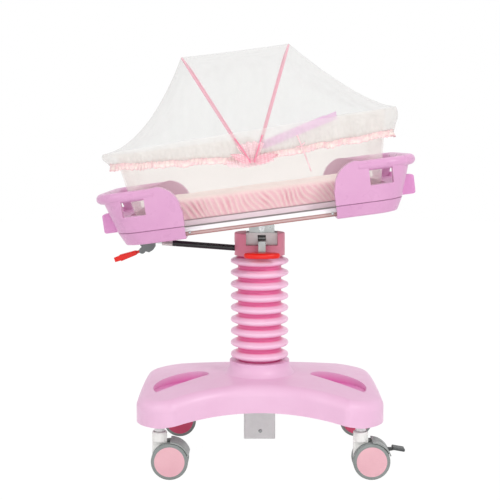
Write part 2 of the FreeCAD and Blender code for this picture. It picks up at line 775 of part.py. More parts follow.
oval = Part.Ellipse(V(pivot_x, grip_centre_y, paddle_grip_height - paddle_grip_thickness / 2),
                    paddle_grip_width / 2, paddle_grip_depth / 2).toShape()
grip = Part.Face(Part.Wire([oval])).extrude(V(0, 0, paddle_grip_thickness))
grip = grip.makeFillet(paddle_grip_thickness * 0.4, grip.Edges)
nodes["paddle_grip"] = grip.cut(paddle_arm)

# ---- tilt gas spring ----
spring_pin = V(spring_pin_x, 0, spring_pin_height)
along = V(-math.cos(math.radians(spring_slope)), 0, math.sin(math.radians(spring_slope)))


def on_spring(distance):
    return spring_pin.add(along * distance)


clevis = block((-half_inner - 30, -half_inner), (-slot_half + 2, slot_half - 2),
               (spring_pin_height - 10, spring_pin_height + 10))
clevis_gap = spring_eye_width / 2 + moving_gap
clevis = clevis.cut(block((-half_inner - 30, -half_inner - 6), (-clevis_gap, clevis_gap),
                          (spring_pin_height - 10, spring_pin_height + 10)))
nodes["spring_clevis"] = clevis.fuse(pin_y(spring_pin_radius, spring_pin.x, spring_pin.z, slot_half - 2))

tube_start = spring_eye_radius + 4
tube_end = tube_start + spring_tube_length + 8
collar_end = tube_end + spring_collar_length
eye = pin_y(spring_eye_radius, spring_pin.x, spring_pin.z, spring_eye_width / 2)
neck = rod(6, spring_pin, on_spring(tube_start + 1))
tube = rod(spring_tube_radius, on_spring(tube_start), on_spring(tube_end))
tube_bore = rod(spring_tube_radius - spring_tube_wall, on_spring(tube_start + 10), on_spring(tube_end - 10))
gland = rod(spring_rod_radius + running_gap, on_spring(tube_start + 10), on_spring(collar_end))
spring_tube = fused([eye, neck, tube]).cut(tube_bore).cut(gland)
nodes["tilt_spring_tube"] = spring_tube.cut(pin_y(spring_pin_radius + running_gap, spring_pin.x, spring_pin.z,
                                                  spring_eye_width / 2))
collar = rod(spring_tube_radius, on_spring(tube_end), on_spring(collar_end))
nodes["tilt_spring_collar"] = collar.cut(gland)

head_face = V(-298, 0, 0)
head_distance = (spring_pin.x - head_face.x) / math.cos(math.radians(spring_slope))
rod_start = head_distance - spring_rod_inside
spring_rod = rod(spring_rod_radius, on_spring(rod_start), on_spring(head_distance + 8))
rod_piston = rod(spring_tube_radius - spring_tube_wall - running_gap, on_spring(rod_start), on_spring(rod_start + 10))
release_x, release_z = release_pin_x, release_pin_height
half_release = release_head_width / 2
release_outline = [(release_x - 13, release_z + 5), (release_x - 6, release_z + 10), (head_face.x, release_z + 11),
                   (head_face.x, release_z - 8), (head_face.x - 6, release_z - 17),
                   (head_face.x - 17, release_z - 24), (release_x + 3, release_z - 20)]
release_head = profile(release_outline, (-half_release, half_release))
lug_room = block((release_x - release_slot_reach, release_x + 14), (-release_fork_gap / 2, release_fork_gap / 2),
                 (release_z - 13, release_z + release_slot_reach))
release_head = release_head.cut(lug_room).fuse(pin_y(release_pin_radius, release_x, release_z, half_release + 3))
nodes["tilt_spring_rod"] = spring_rod.fuse(rod_piston)

lever_down = math.radians(lever_angle)
lever_pin = V(lever_pin_x, 0, lever_pin_height)
half_lever = lever_width / 2
release_head = release_head.fuse(pin_y(9, lever_pin.x, lever_pin.z, half_release))
lever_slot = block((lever_pin.x - release_slot_reach, lever_pin.x + 12), (-5, 5),
                   (lever_pin.z - release_slot_reach, lever_pin.z + 12))
release_head = release_head.cut(lever_slot).fuse(
    pin_y(lever_pin_radius, lever_pin.x, lever_pin.z, half_release))
nodes["release_head"] = release_head.cut(spring_rod).removeSplitter()


def lever_point(distance, rise):
    x = lever_pin.x - distance * math.cos(lever_down) - rise * math.sin(lever_down)
    z = lever_pin.z - distance * math.sin(lever_down) + rise * math.cos(lever_down)
    return (x, z)


grip_start = 17
step_at = lever_length - lever_stub
grip_outline = [lever_point(grip_start, lever_root_height / 2), lever_point(step_at, lever_tip_height / 2),
                lever_point(step_at, -lever_tip_height / 2), lever_point(grip_start, -lever_root_height / 2)]
tip_outline = [lever_point(step_at - 1, lever_tip_height * 0.38), lever_point(lever_length, lever_tip_height * 0.34),
               lever_point(lever_length, -lever_tip_height * 0.34), lever_point(step_at - 1, -lever_tip_height * 0.38)]
shank_outline = [lever_point(0, 4), lever_point(grip_start + 1, 4), lever_point(grip_start + 1, -4),
                 lever_point(0, -4)]
grip = profile(grip_outline, (-half_lever, half_lever))
grip = grip.makeFillet(3, grip.Edges)
tip = profile(tip_outline, (-half_lever * 0.7, half_lever * 0.7))
lever_shank = fused([profile(shank_outline, (-4.5, 4.5)), pin_y(6, lever_pin.x, lever_pin.z, 4.5)])
lever = fused([grip, tip, lever_shank])
nodes["release_lever"] = lever.cut(pin_y(lever_pin_radius + running_gap, lever_pin.x, lever_pin.z, half_release))

# ---- tray frame, pan and mouldings ----
half_rail = rail_width / 2


def tray_tubes(inset):
    """The tray's four rails and its wide centre beam; with an inset, the space in them."""
    z = (rail_bottom + inset, rail_top - inset)
    half_length = rail_half_length - inset
    inner_end = rail_half_length - rail_width + inset
    half_beam = centre_beam_width / 2 - inset
    tubes = [block((-half_beam, half_beam), (-rail_half_spacing, rail_half_spacing), z)]
    for side in SIDES:
        y = side * rail_half_spacing
        tubes.append(block((-half_length, half_length), (y - half_rail + inset, y + half_rail - inset), z))
        tubes.append(block(sorted((side * half_length, side * inner_end)), (-rail_half_spacing, rail_half_spacing), z))
    back = tongue_back + rail_end_gap + inset
    return fused(tubes).common(rounded_slab([v - back for v in shroud_bottom_half], shroud_corner - back, z))


tray_parts = [tray_tubes(0).cut(tray_tubes(rail_wall))]
for side in SIDES:
    faces = sorted((side * lug_outer_y, side * (lug_outer_y - lug_plate)))
    lug = block((-lug_radius, lug_radius), faces, (0, rail_bottom + 1))
    tray_parts.append(lug.fuse(rod(lug_radius, V(0, faces[0], 0), V(0, faces[1], 0))))
tray_frame = fused(tray_parts)
tray_frame = tray_frame.cut(pin_y(pivot_radius + running_gap, 0, 0, ear_outer_y))
nodes["tray_frame"] = in_tray(tray_frame)

lug_x = release_pin_x - pivot_x
lug_z = release_pin_height - pivot_height
tilt = math.radians(tilt_angle)
release_local = (lug_x * math.cos(tilt) + lug_z * math.sin(tilt), -lug_x * math.sin(tilt) + lug_z * math.cos(tilt))
hole_radius = release_pin_radius + open_pivot_gap
lug_outer = hole_radius + 3.5
half_lug = release_lug_width / 2
spring_lug = rod(lug_outer, V(release_local[0], -half_lug, release_local[1]), V(release_local[0], half_lug, release_local[1]))
spring_lug = spring_lug.fuse(block((release_local[0] - lug_outer, release_local[0] + lug_outer),
                                   (-half_lug, half_lug), (release_local[1], rail_bottom)))
spring_lug = spring_lug.cut(pin_y(hole_radius, release_local[0], release_local[1], half_lug + 1))
lug_strap = block((-rail_half_length + rail_width, release_local[0] + lug_outer + 4), (-20, 20),
                  (rail_bottom, rail_bottom + 5))
nodes["spring_bracket"] = in_tray(fused([spring_lug, lug_strap]))

pan_z = (pan_floor, pan_floor + pan_lip)
pan = rounded_slab((pan_half_length, pan_half_width), 20, pan_z)
pan = pan.cut(rounded_slab((pan_half_length - pan_wall, pan_half_width - pan_wall), 18, (pan_floor + pan_wall, pan_z[1])))
nodes["tray_pan"] = in_tray(pan)



def hexagon_head(place, radius, side_y):
    """Hexagon screw head with a slightly smaller face, standing out of a side."""
    wires = []
    for size, out in ((radius, 0), (radius, radius * 0.5), (radius * 0.8, radius * 0.8)):
        turns = [math.radians(60 * i) for i in range(6)]
        ring = [V(place.x + size * math.cos(a), place.y + side_y * out, place.z + size * math.sin(a)) for a in turns]
        wires.append(Part.makePolygon(ring + ring[:1]))
    return Part.makeLoft(wires, True, True)


screws = []
for side_x in SIDES:
    for side_y in SIDES:
        face_y = side_y * (rail_half_spacing + half_rail)
        place = V(side_x * screw_x, face_y, rail_bottom + rail_height / 2)
        screws.append(hexagon_head(place, screw_radius, side_y))
nodes["rail_screws"] = in_tray(Part.makeCompound(screws))


def shroud_outer(z0, z1):
    """Solid outline of both end mouldings between two heights, flaring outwards."""
    def half_at(z):
        if z <= shroud_split:
            low, high = shroud_bottom_half, shroud_split_half
            share = (z - shroud_bottom) / (shroud_split - shroud_bottom)
        else:
            low, high = shroud_split_half, shroud_rim_half
            share = (z - shroud_split) / (shroud_rim - shroud_split)
        return low[0] + (high[0] - low[0]) * share, low[1] + (high[1] - low[1]) * share
    return lambda inset: taper([v - inset for v in half_at(z0)], shroud_corner - inset,
                               [v - inset for v in half_at(z1)], shroud_corner - inset, (z0, z1))


def shroud_void(grow, z):
    return rounded_slab([v + grow for v in shroud_void_half], shroud_void_corner, z)


end_space = block((shroud_inner_x, reach), (-reach, reach), (-reach, reach))
upper_low = shroud_split + shroud_groove / 2
lower_high = shroud_split - shroud_groove / 2
ring = shroud_outer(upper_low, shroud_sill)(0).cut(shroud_void(0, (0, shroud_rim)))
tall = shroud_outer(upper_low, shroud_rim)(0).cut(shroud_void(0, (0, shroud_rim)))
crest_drop = 36
panel_outline = [(shroud_inner_x, upper_low), (shroud_inner_x + 3, shroud_rim - 2 * crest_drop),
                 (shroud_inner_x + 15, shroud_rim - crest_drop * 0.8, "arc"), (panel_crest_x, shroud_rim),
                 (hole_start, shroud_rim - 6), (hole_start, upper_low)]
panels = tall.common(profile(panel_outline, (-reach, reach)))
upper = ring.common(end_space).fuse(panels)

ring_hollow = shroud_outer(upper_low, shroud_sill - shroud_wall)(shroud_wall).cut(
    shroud_void(shroud_wall, (0, shroud_rim)))
ring_hollow = ring_hollow.common(block((shroud_inner_x + shroud_end_wall, reach), (-reach, reach), (-reach, reach)))
panel_hollow = shroud_outer(upper_low, shroud_rim - crest_drop)(shroud_wall).cut(
    shroud_void(shroud_wall, (0, shroud_rim)))
panel_hollow = panel_hollow.common(block((shroud_inner_x + 2 * shroud_end_wall, hole_start - shroud_wall),
                                         (-reach, reach), (-reach, reach)))
upper = upper.cut(ring_hollow).cut(panel_hollow)

post_outer = shroud_outer(shroud_sill - 2, bar_height)(0)
post_inner = shroud_outer(shroud_sill - 2, bar_height)(post_width)
posts = post_outer.cut(post_inner)
corner_space = []
for side in SIDES:
    y_range = sorted((side * post_half_y, side * reach))
    corner_space.append(block((hole_end, reach), y_range, (-reach, reach)))
posts = posts.common(corner_space[0].fuse(corner_space[1]))


def bar_path():
    bend = bar_corner * (1 - math.sqrt(0.5))
    start_x = hole_start - 26
    far, side = bar_half_length, bar_half_width
    near = [V(start_x, -side, bar_height), V(far - bar_corner, -side, bar_height)]
    turn = [near[1], V(far - bend, -side + bend, bar_height), V(far, -side + bar_corner, bar_height)]
    back = [V(far, side - bar_corner, bar_height), V(far - bend, side - bend, bar_height),
            V(far - bar_corner, side, bar_height)]
    return Part.Wire([Part.LineSegment(*near).toShape(), Part.Arc(*turn).toShape(),
                      Part.LineSegment(turn[2], back[0]).toShape(), Part.Arc(*back).toShape(),
                      Part.LineSegment(back[2], V(start_x, side, bar_height)).toShape()])


path = bar_path()
first = path.OrderedEdges[0].valueAt(path.OrderedEdges[0].FirstParameter)
circle = Part.Wire([Part.makeCircle(bar_radius, first, V(1, 0, 0))])
bar = path.makePipeShell([circle], True, False)
upper = fused([upper, posts, bar])

lower = shroud_outer(shroud_bottom, lower_high)(0)
lower = lower.makeFillet(5, [e for e in lower.Edges if e.BoundBox.ZMax < shroud_bottom + 0.1])
lower = lower.cut(shroud_outer(shroud_bottom + shroud_floor, lower_high)(tongue_back))
tongue = shroud_outer(lower_high - 4, upper_low + 6)(tongue_face).cut(
    shroud_outer(lower_high - 4, upper_low + 6)(tongue_back))
tongue_space = block((shroud_inner_x + shroud_end_wall + moving_gap, reach), (-reach, reach), (0, reach))
lower = lower.fuse(tongue.common(tongue_space)).common(end_space)
lug_opening = block((release_local[0] - lug_outer - 3, release_local[0] + lug_outer + 3), (-half_lug - 3, half_lug + 3),
                    (shroud_bottom - 1, shroud_bottom + shroud_floor + 1))

bumper_pair = []
for side in SIDES:
    y = side * bumper_y
    bumper = block((shroud_split_half[0] - 10, bumper_reach), (y - bumper_width / 2, y + bumper_width / 2),
                   (bumper_low, bumper_high))
    bumper = fillet_where(bumper, bumper_corner, lambda e: e.BoundBox.XMin > bumper_reach - 1)
    bumper_pair.append(bumper.cut(shroud_outer(shroud_split, shroud_rim)(0)))
bumpers = Part.makeCompound(bumper_pair)

nodes["right_upper_shroud"] = in_tray(upper)
nodes["left_upper_shroud"] = in_tray(mirrored_x(upper))
nodes["right_lower_shroud"] = in_tray(lower)
nodes["left_lower_shroud"] = in_tray(mirrored_x(lower).cut(lug_opening))
nodes["right_bumpers"] = in_tray(bumpers)
nodes["left_bumpers"] = in_tray(mirrored_x(bumpers))


# ---- tub ----
def rim_band(above, below, x0=-reach, x1=reach, y=(-reach, reach)):
    """Strip along the tub's rim line, from below it to above it, between two places along the tub."""
    line = [(-reach, tub_foot_rim), (tub_dip_start_x, tub_foot_rim), (tub_dip_x, tub_dip),
            (tub_head_start_x, tub_head_rim), (reach, tub_head_rim)]
    top = [(x, z + above) for x, z in line]
    bottom = [(x, z - below) for x, z in reversed(line)]
    return profile(top + bottom, y).common(block((x0, x1), (-reach, reach), (-reach, reach)))


def tub_form(grow, top_extra=0):
    rise = (tub_top_half[0] - tub_bottom_half[0]) / tub_depth
    rise_y = (tub_top_half[1] - tub_bottom_half[1]) / tub_depth
    upper_half = (tub_top_half[0] + grow + rise * top_extra, tub_top_half[1] + grow + rise_y * top_extra)
    lower_half = (tub_bottom_half[0] + grow, tub_bottom_half[1] + grow)
    return taper(lower_half, tub_bottom_corner + grow, upper_half, tub_top_corner + grow,
                 (tub_floor, tub_head_rim + top_extra))


above_rim = rim_band(reach, 0)
tub_shell = tub_form(0, 5)
tub_shell = tub_shell.makeFillet(10, [e for e in tub_shell.Edges if e.BoundBox.ZMax < tub_floor + 0.1])
tub_space = tub_form(-tub_wall, 5)
tub_space.translate(V(0, 0, tub_wall))
flange = tub_form(flange_reach, 5).cut(tub_form(-tub_wall, 5)).common(rim_band(0, flange_thickness))
tub = tub_shell.cut(tub_space).cut(above_rim).fuse(flange)
nodes["tub"] = in_tray(tub)

guards = []
guard_ring = tub_form(flange_reach + guard_cover, 20).cut(tub_form(-tub_wall - guard_cover, 20))
for side in SIDES:
    strip = rim_band(guard_band / 2, guard_band / 2, tub_dip_x - 8, tub_head_start_x)
    strip = strip.common(guard_ring).common(block((-reach, reach), sorted((0, side * reach)), (0, reach)))
    guards.append(strip.cut(tub))
nodes["tub_edge_guards"] = in_tray(Part.makeCompound(guards))

board_z = (tub_floor + tub_wall + 0.5, tub_floor + tub_wall + 0.5 + board_thickness)
board = rounded_slab([v - 2 for v in mattress_half], mattress_corner, board_z)
nodes["mattress_board"] = in_tray(board)
mattress_z = (board_z[1] + moving_gap, board_z[1] + moving_gap + mattress_height)
mattress = rounded_slab(mattress_half, mattress_corner, mattress_z)
mattress = mattress.makeFillet(mattress_edge, [e for e in mattress.Edges if e.BoundBox.ZLength < 0.1])
nodes["mattress"] = in_tray(mattress)


# ---- net canopy ----
def arch_wire(low, high, half_width, corner):
    """Inverted U in a plane across the tub, closed along its foot. low and high are (x, z)."""
    up = V(high[0] - low[0], 0, high[1] - low[1])
    height = up.Length
    up.normalize()
    corner = min(corner, height * 0.8)
    bend = corner * (1 - math.sqrt(0.5))

    def at(y, rise):
        return V(low[0], y, low[1]).add(up * rise)
    a, b = at(-half_width, 0), at(-half_width, height - corner)
    c, d = at(-half_width + corner, height), at(half_width - corner, height)
    e, f = at(half_width, height - corner), at(half_width, 0)
    return Part.Wire([Part.LineSegment(a, b).toShape(),
                      Part.Arc(b, at(-half_width + bend, height - bend), c).toShape(),
                      Part.LineSegment(c, d).toShape(),
                      Part.Arc(d, at(half_width - bend, height - bend), e).toShape(),
                      Part.LineSegment(e, f).toShape(),
                      Part.LineSegment(f, a).toShape()])


def hoop_top(x, lean, height, side):
    return (x + side * height * math.tan(math.radians(lean)), hoop_pivot_z + height)


left_top = hoop_top(left_hoop_x, left_hoop_lean, left_hoop_height, -1)
right_top = hoop_top(right_hoop_x, right_hoop_lean, right_hoop_height, 1)


def net_form(inset):
    """The net's outer shape, or with an inset, the space under it."""
    drop = 12 if inset else 0
    lift = hoop_radius + net_hoop_gap + net_wall - inset
    width = net_half_width - inset

    def ridge(top, sag, side):
        slope = math.atan2(top[1] - sag[1], side * (sag[0] - top[0]))
        return top[0] + side * lift * math.tan(slope / 2), top[1] + lift

    def hem_at(x):
        if x < left_hoop_x:
            share = (x + net_half_length) / (left_hoop_x + net_half_length)
            return net_hem_foot + (net_hem_middle - net_hem_foot) * share
        share = (x - right_hoop_x) / (net_half_length - right_hoop_x)
        return net_hem_middle + (net_hem_head - net_hem_middle) * share

    foot_x, head_x = -net_half_length + inset, net_half_length - inset
    stations = [
        ((foot_x, net_hem_foot - drop), (foot_x, net_foot_shoulder - inset), net_corner),
        ((net_foot_sag[0], hem_at(net_foot_sag[0]) - drop), (net_foot_sag[0], net_foot_sag[1] - inset), net_corner),
        ((left_hoop_x, net_hem_middle - drop), ridge(left_top, net_foot_sag, -1), hoop_top_corner),
        ((right_hoop_x, net_hem_middle - drop), ridge(right_top, net_head_sag, 1), hoop_top_corner),
        ((net_head_sag[0], hem_at(net_head_sag[0]) - drop), (net_head_sag[0], net_head_sag[1] - inset), net_corner),
        ((head_x, net_hem_head - drop), (head_x, net_head_shoulder - inset), net_corner),
    ]
    wires = [arch_wire(low, high, width, corner - inset) for low, high, corner in stations]
    return Part.makeLoft(wires, True, True)


net = net_form(0).cut(net_form(net_wall))
nodes["net"] = in_tray(net)

hem = [(-reach, net_hem_foot), (-net_half_length, net_hem_foot), (left_hoop_x, net_hem_middle),
       (right_hoop_x, net_hem_middle), (net_half_length, net_hem_head), (reach, net_hem_head)]
ruffle_rise = ruffle_height * 0.6
ruffle_band = profile([(x, z + ruffle_rise) for x, z in hem] +
                      [(x, z + ruffle_rise - ruffle_height) for x, z in reversed(hem)], (-reach, reach))
ruffle_outer = rounded_slab((net_half_length + ruffle_depth, net_half_width + ruffle_depth), 30, (0, reach))
ruffle_inner = rounded_slab((net_half_length, net_half_width), 23, (0, reach))
ruffle = ruffle_outer.cut(ruffle_inner).common(ruffle_band).cut(net_form(0))
nodes["net_ruffle"] = in_tray(ruffle)


def hoop_form(x, lean, height, side):
    top = hoop_top(x, lean, height, side)
    low_x, low_z = x, hoop_pivot_z
    closed = arch_wire((low_x, low_z), top, hoop_y, hoop_top_corner - 6)
    spine = Part.Wire(closed.OrderedEdges[:5])
    start = V(low_x, -hoop_y, low_z)
    direction = V(top[0] - low_x, 0, top[1] - low_z)
    section = Part.Wire([Part.makeCircle(hoop_radius, start, direction)])
    tube = spine.makePipeShell([section], True, False)
    eyes = []
    for side_y in SIDES:
        faces = [side_y * hoop_y + half * hoop_eye_width / 2 for half in SIDES]
        eyes.append(rod(hoop_eye_radius, V(low_x, faces[0], low_z), V(low_x, faces[1], low_z)))
    hoop = tube.multiFuse(eyes)
    return hoop.cut(pin_y(hoop_pin_radius + running_gap, low_x, low_z, reach))


nodes["left_hoop"] = in_tray(hoop_form(left_hoop_x, left_hoop_lean, left_hoop_height, -1))
nodes["right_hoop"] = in_tray(hoop_form(right_hoop_x, right_hoop_lean, right_hoop_height, 1))

clips = []
flange_y = tub_top_half[1] + flange_reach
clip_outer = hoop_y - hoop_radius - moving_gap
hook_x = -14
for side in SIDES:
    plate_y = sorted((side * (clip_outer - clip_plate), side * clip_outer))
    clip_centre = (left_hoop_x + right_hoop_x) / 2
    hook_top = tub_foot_rim + clip_plate + moving_gap
    plate = block((clip_centre - clip_width / 2, clip_centre + clip_width / 2), plate_y,
                  (hoop_pivot_z - 9, hoop_pivot_z + 9))
    strap = block((hook_x - 9, hook_x + 9), plate_y, (hoop_pivot_z, hook_top))
    hook = block((hook_x - 9, hook_x + 9), sorted((side * (flange_y - 12), side * clip_outer)),
                 (tub_foot_rim + moving_gap, hook_top))
    pins = []
    for pin_x in (left_hoop_x, right_hoop_x):
        outer_y = side * (hoop_y + hoop_eye_width / 2)
        pins.append(rod(hoop_pin_radius, V(pin_x, side * clip_outer, hoop_pivot_z),
                        V(pin_x, outer_y, hoop_pivot_z)))
    clips.append(fused([plate, strap, hook] + pins))
nodes["hoop_clips"] = in_tray(Part.makeCompound(clips))


def bow_form():
    centre_x, centre_z = (left_hoop_x + right_hoop_x) / 2, net_hem_middle + ruffle_height * 0.6
    y_back = -net_half_width - ruffle_depth - bow_gap
    lobes = []
    for side in SIDES:
        wires = []
        for share, size in ((0, 0.35), (0.45, 1.0), (1, 0.55)):
            x = centre_x + side * (bow_knot / 3 + share * (bow_width / 2 - bow_knot / 3))
            half_y, half_z = bow_depth / 2 * size, bow_height / 2 * size
            ring = Part.Ellipse(V(0, 0, 0), half_z, half_y).toShape()
            loop = Part.Wire([ring])
            loop.rotate(V(0, 0, 0), V(0, 1, 0), 90)
            loop.translate(V(x, y_back - bow_depth / 2, centre_z + side * share * 4))
            wires.append(loop)
        lobes.append(Part.makeLoft(wires, True, False))
    knot = Part.makeSphere(bow_knot / 2, V(centre_x, y_back - bow_depth / 2, centre_z))
    knot = knot.common(block((-reach, reach), (y_back - bow_depth, y_back), (0, reach)))
    return fused(lobes + [knot])


nodes["bow"] = in_tray(bow_form())

# ---- the origin is at the middle of the object's box, on the floor ----
overall = FreeCAD.BoundBox()
for shape in nodes.values():
    overall.add(shape.optimalBoundingBox(False, False))
to_origin = V(-overall.Center.x, -overall.Center.y, 0)

os.makedirs("parts", exist_ok=True)
for name, shape in nodes.items():
    placed = shape.copy()
    placed.translate(to_origin)
    placed.exportStep(f"parts/{name}.step")
    print(f"{name:32s} solids {len(shape.Solids)} valid {shape.isValid()} volume {shape.Volume / 1000:.1f} cm3")
print("nodes", len(nodes), "column axis at x", round(to_origin.x, 3), "y", round(to_origin.y, 3))
print("box", [round(v, 1) for v in (overall.XLength, overall.YLength, overall.ZMin, overall.ZMax)])
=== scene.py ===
import json
import math

import bmesh
import bpy
from mathutils import Matrix, Vector, noise


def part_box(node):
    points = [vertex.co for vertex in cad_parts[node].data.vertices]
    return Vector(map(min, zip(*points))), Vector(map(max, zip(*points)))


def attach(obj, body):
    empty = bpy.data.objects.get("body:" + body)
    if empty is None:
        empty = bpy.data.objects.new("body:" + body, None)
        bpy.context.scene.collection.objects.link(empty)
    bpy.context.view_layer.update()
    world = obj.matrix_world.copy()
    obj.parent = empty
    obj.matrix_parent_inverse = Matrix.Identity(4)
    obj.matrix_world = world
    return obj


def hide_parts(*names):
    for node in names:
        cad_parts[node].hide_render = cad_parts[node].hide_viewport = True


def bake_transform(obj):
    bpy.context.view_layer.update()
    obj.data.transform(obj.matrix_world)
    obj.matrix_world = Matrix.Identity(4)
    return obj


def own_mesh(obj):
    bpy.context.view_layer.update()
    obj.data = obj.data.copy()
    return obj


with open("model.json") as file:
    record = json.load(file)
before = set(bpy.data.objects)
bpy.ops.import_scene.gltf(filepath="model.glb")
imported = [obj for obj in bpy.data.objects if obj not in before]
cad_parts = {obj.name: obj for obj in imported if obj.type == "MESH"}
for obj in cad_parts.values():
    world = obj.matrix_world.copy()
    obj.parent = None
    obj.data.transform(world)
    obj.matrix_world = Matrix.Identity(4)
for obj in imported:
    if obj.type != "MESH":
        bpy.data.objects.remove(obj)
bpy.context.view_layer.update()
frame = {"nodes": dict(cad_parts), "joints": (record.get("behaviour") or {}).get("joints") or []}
nodes = frame["nodes"]
joints = {joint["name"]: joint for joint in frame["joints"]}
scene = bpy.context.scene

# Tray pieces are written level, in millimetres about the tilt pivot, and laid into the tilted tray.
trayPivot = Vector(joints["tray_tilt"]["pos_m"])
trayUp = Vector(joints["tub_lift_out"]["axis"])
trayAlong = Vector((trayUp.z, 0, -trayUp.x))
intoTray = Matrix((
    (trayAlong.x, 0, trayUp.x, trayPivot.x),
    (0, 1, 0, trayPivot.y),
    (trayAlong.z, 0, trayUp.z, trayPivot.z),
    (0, 0, 0, 1)))
mm = 0.001
columnX = sum(corner[0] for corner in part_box("outer_column")) / 2


def inTray(x, y, z):
    return intoTray @ (Vector((x, y, z)) * mm)


view = {"besideColumn": -0.0275, "back": -2.908, "height": 0.909, "down": 6.09, "lens": 73.58, "sensor": 36}
camera = bpy.data.objects.new("camera", bpy.data.cameras.new("camera"))
scene.collection.objects.link(camera)
camera.location = (columnX + view["besideColumn"], view["back"], view["height"])
camera.rotation_euler = (math.radians(90 - view["down"]), 0, 0)
camera.data.lens = view["lens"]
camera.data.sensor_width = view["sensor"]
scene.camera = camera
scene.view_settings.view_transform = "Standard"
scene.cycles.transparent_max_bounces = 48   # net, tub and net again lie behind each other
print("camera placed")


def linear(hexText):
    values = [int(hexText[i:i + 2], 16) / 255 for i in (1, 3, 5)]
    return tuple(v / 12.92 if v <= 0.04045 else ((v + 0.055) / 1.055) ** 2.4 for v in values) + (1,)


def add(tree, kind, inputs=None, **settings):
    # each input is a value or another node's output
    node = tree.nodes.new(kind)
    for name, value in settings.items():
        setattr(node, name, value)
    for name, value in (inputs or {}).items():
        if isinstance(value, bpy.types.NodeSocket):
            tree.links.new(value, node.inputs[name])
        else:
            node.inputs[name].default_value = value
    return node


def newMaterial(name):
    material = bpy.data.materials.new(name)
    material.use_nodes = True
    tree = material.node_tree
    tree.nodes.clear()
    return material, tree


def mixColour(tree, share, first, second):
    # each colour is a hex value or an output
    pair = [linear(c) if isinstance(c, str) else c for c in (first, second)]
    return add(tree, "ShaderNodeMix", {0: share, 6: pair[0], 7: pair[1]}, data_type="RGBA").outputs[2]


def spread(tree, source, low, high, toLow=0.0, toHigh=1.0):
    return add(tree, "ShaderNodeMapRange",
               {0: source, 1: low, 2: high, 3: toLow, 4: toHigh}).outputs[0]


def objectNoise(tree, sizeMm, detail=2.0, stretch=(1, 1, 1)):
    # patches about sizeMm across, in the object's own metres
    place = add(tree, "ShaderNodeTexCoord").outputs["Object"]
    if stretch != (1, 1, 1):
        place = add(tree, "ShaderNodeMapping", {"Vector": place, "Scale": stretch}).outputs[0]
    return add(tree, "ShaderNodeTexNoise",
               {"Vector": place, "Scale": 1000 / sizeMm, "Detail": detail, "Roughness": 0.55}).outputs[0]


def arith(tree, operation, *values):
    return add(tree, "ShaderNodeMath", dict(enumerate(values)), operation=operation).outputs[0]


def bumps(tree, height, strength, distance=0.0004):
    return add(tree, "ShaderNodeBump", {"Strength": strength, "Distance": distance, "Height": height}).outputs[0]


def darker(colour, share):
    return "#" + "".join(f"{round(int(colour[i:i + 2], 16) * share):02X}" for i in (1, 3, 5))


def surface(tree, **inputs):
    # underscores in the names stand for spaces
    named = {name.replace("_", " "): value for name, value in inputs.items()}
    shader = add(tree, "ShaderNodeBsdfPrincipled", named)
    add(tree, "ShaderNodeOutputMaterial", {"Surface": shader.outputs[0]})


def mixedSurface(tree, share, first, second):
    mixed = add(tree, "ShaderNodeMixShader", {0: share, 1: first.outputs[0], 2: second.outputs[0]})
    add(tree, "ShaderNodeOutputMaterial", {"Surface": mixed.outputs[0]})


def mouldedPlastic(name, colour, shade, roughness=0.34, grainMm=0.9, bump=0.04):
    # injection moulded plastic: an even colour, a satin gloss with a fine eggshell grain, faint flow marks and
    # rubbed patches
    material, tree = newMaterial(name)
    marks = objectNoise(tree, 90, 3)
    tint = mixColour(tree, spread(tree, marks, 0.35, 0.7), colour, shade)
    rubbed = objectNoise(tree, 26, 4)
    gloss = spread(tree, rubbed, 0.3, 0.75, roughness - 0.05, roughness + 0.07)
    relief = bumps(tree, objectNoise(tree, grainMm), bump)
    surface(tree, Base_Color=tint, Roughness=gloss, Normal=relief, Specular_IOR_Level=0.45)
    return material


def paintedMetal(name, colour, roughness=0.3, metallic=0.0, flowMm=30, bump=0.03):
    # powder coated steel: smooth colour with a slight orange peel and a soft shine
    material, tree = newMaterial(name)
    patches = objectNoise(tree, flowMm, 3)
    gloss = spread(tree, patches, 0.3, 0.7, roughness - 0.05, roughness + 0.06)
    relief = bumps(tree, objectNoise(tree, 1.6, 1), bump, 0.0005)
    tint = mixColour(tree, spread(tree, patches, 0.3, 0.8), colour, darker(colour, 0.94))
    surface(tree, Base_Color=tint, Roughness=gloss, Metallic=metallic, Normal=relief)
    return material


# The base's top is part of a ball. Both recesses run from inner to outer beside the column and from front to back; a
# pair is where their painted rose shade starts and where it is full. In metres.
baseTop = {"radius": 1.9, "top": 0.248, "paintedShadeStartsAt": 0.002, "paintedShadeFullAt": 0.026}
recessShade = {"outer": (0.306, 0.302), "inner": (0.132, 0.136), "front": (-0.164, -0.16), "back": (0.036, 0.032)}


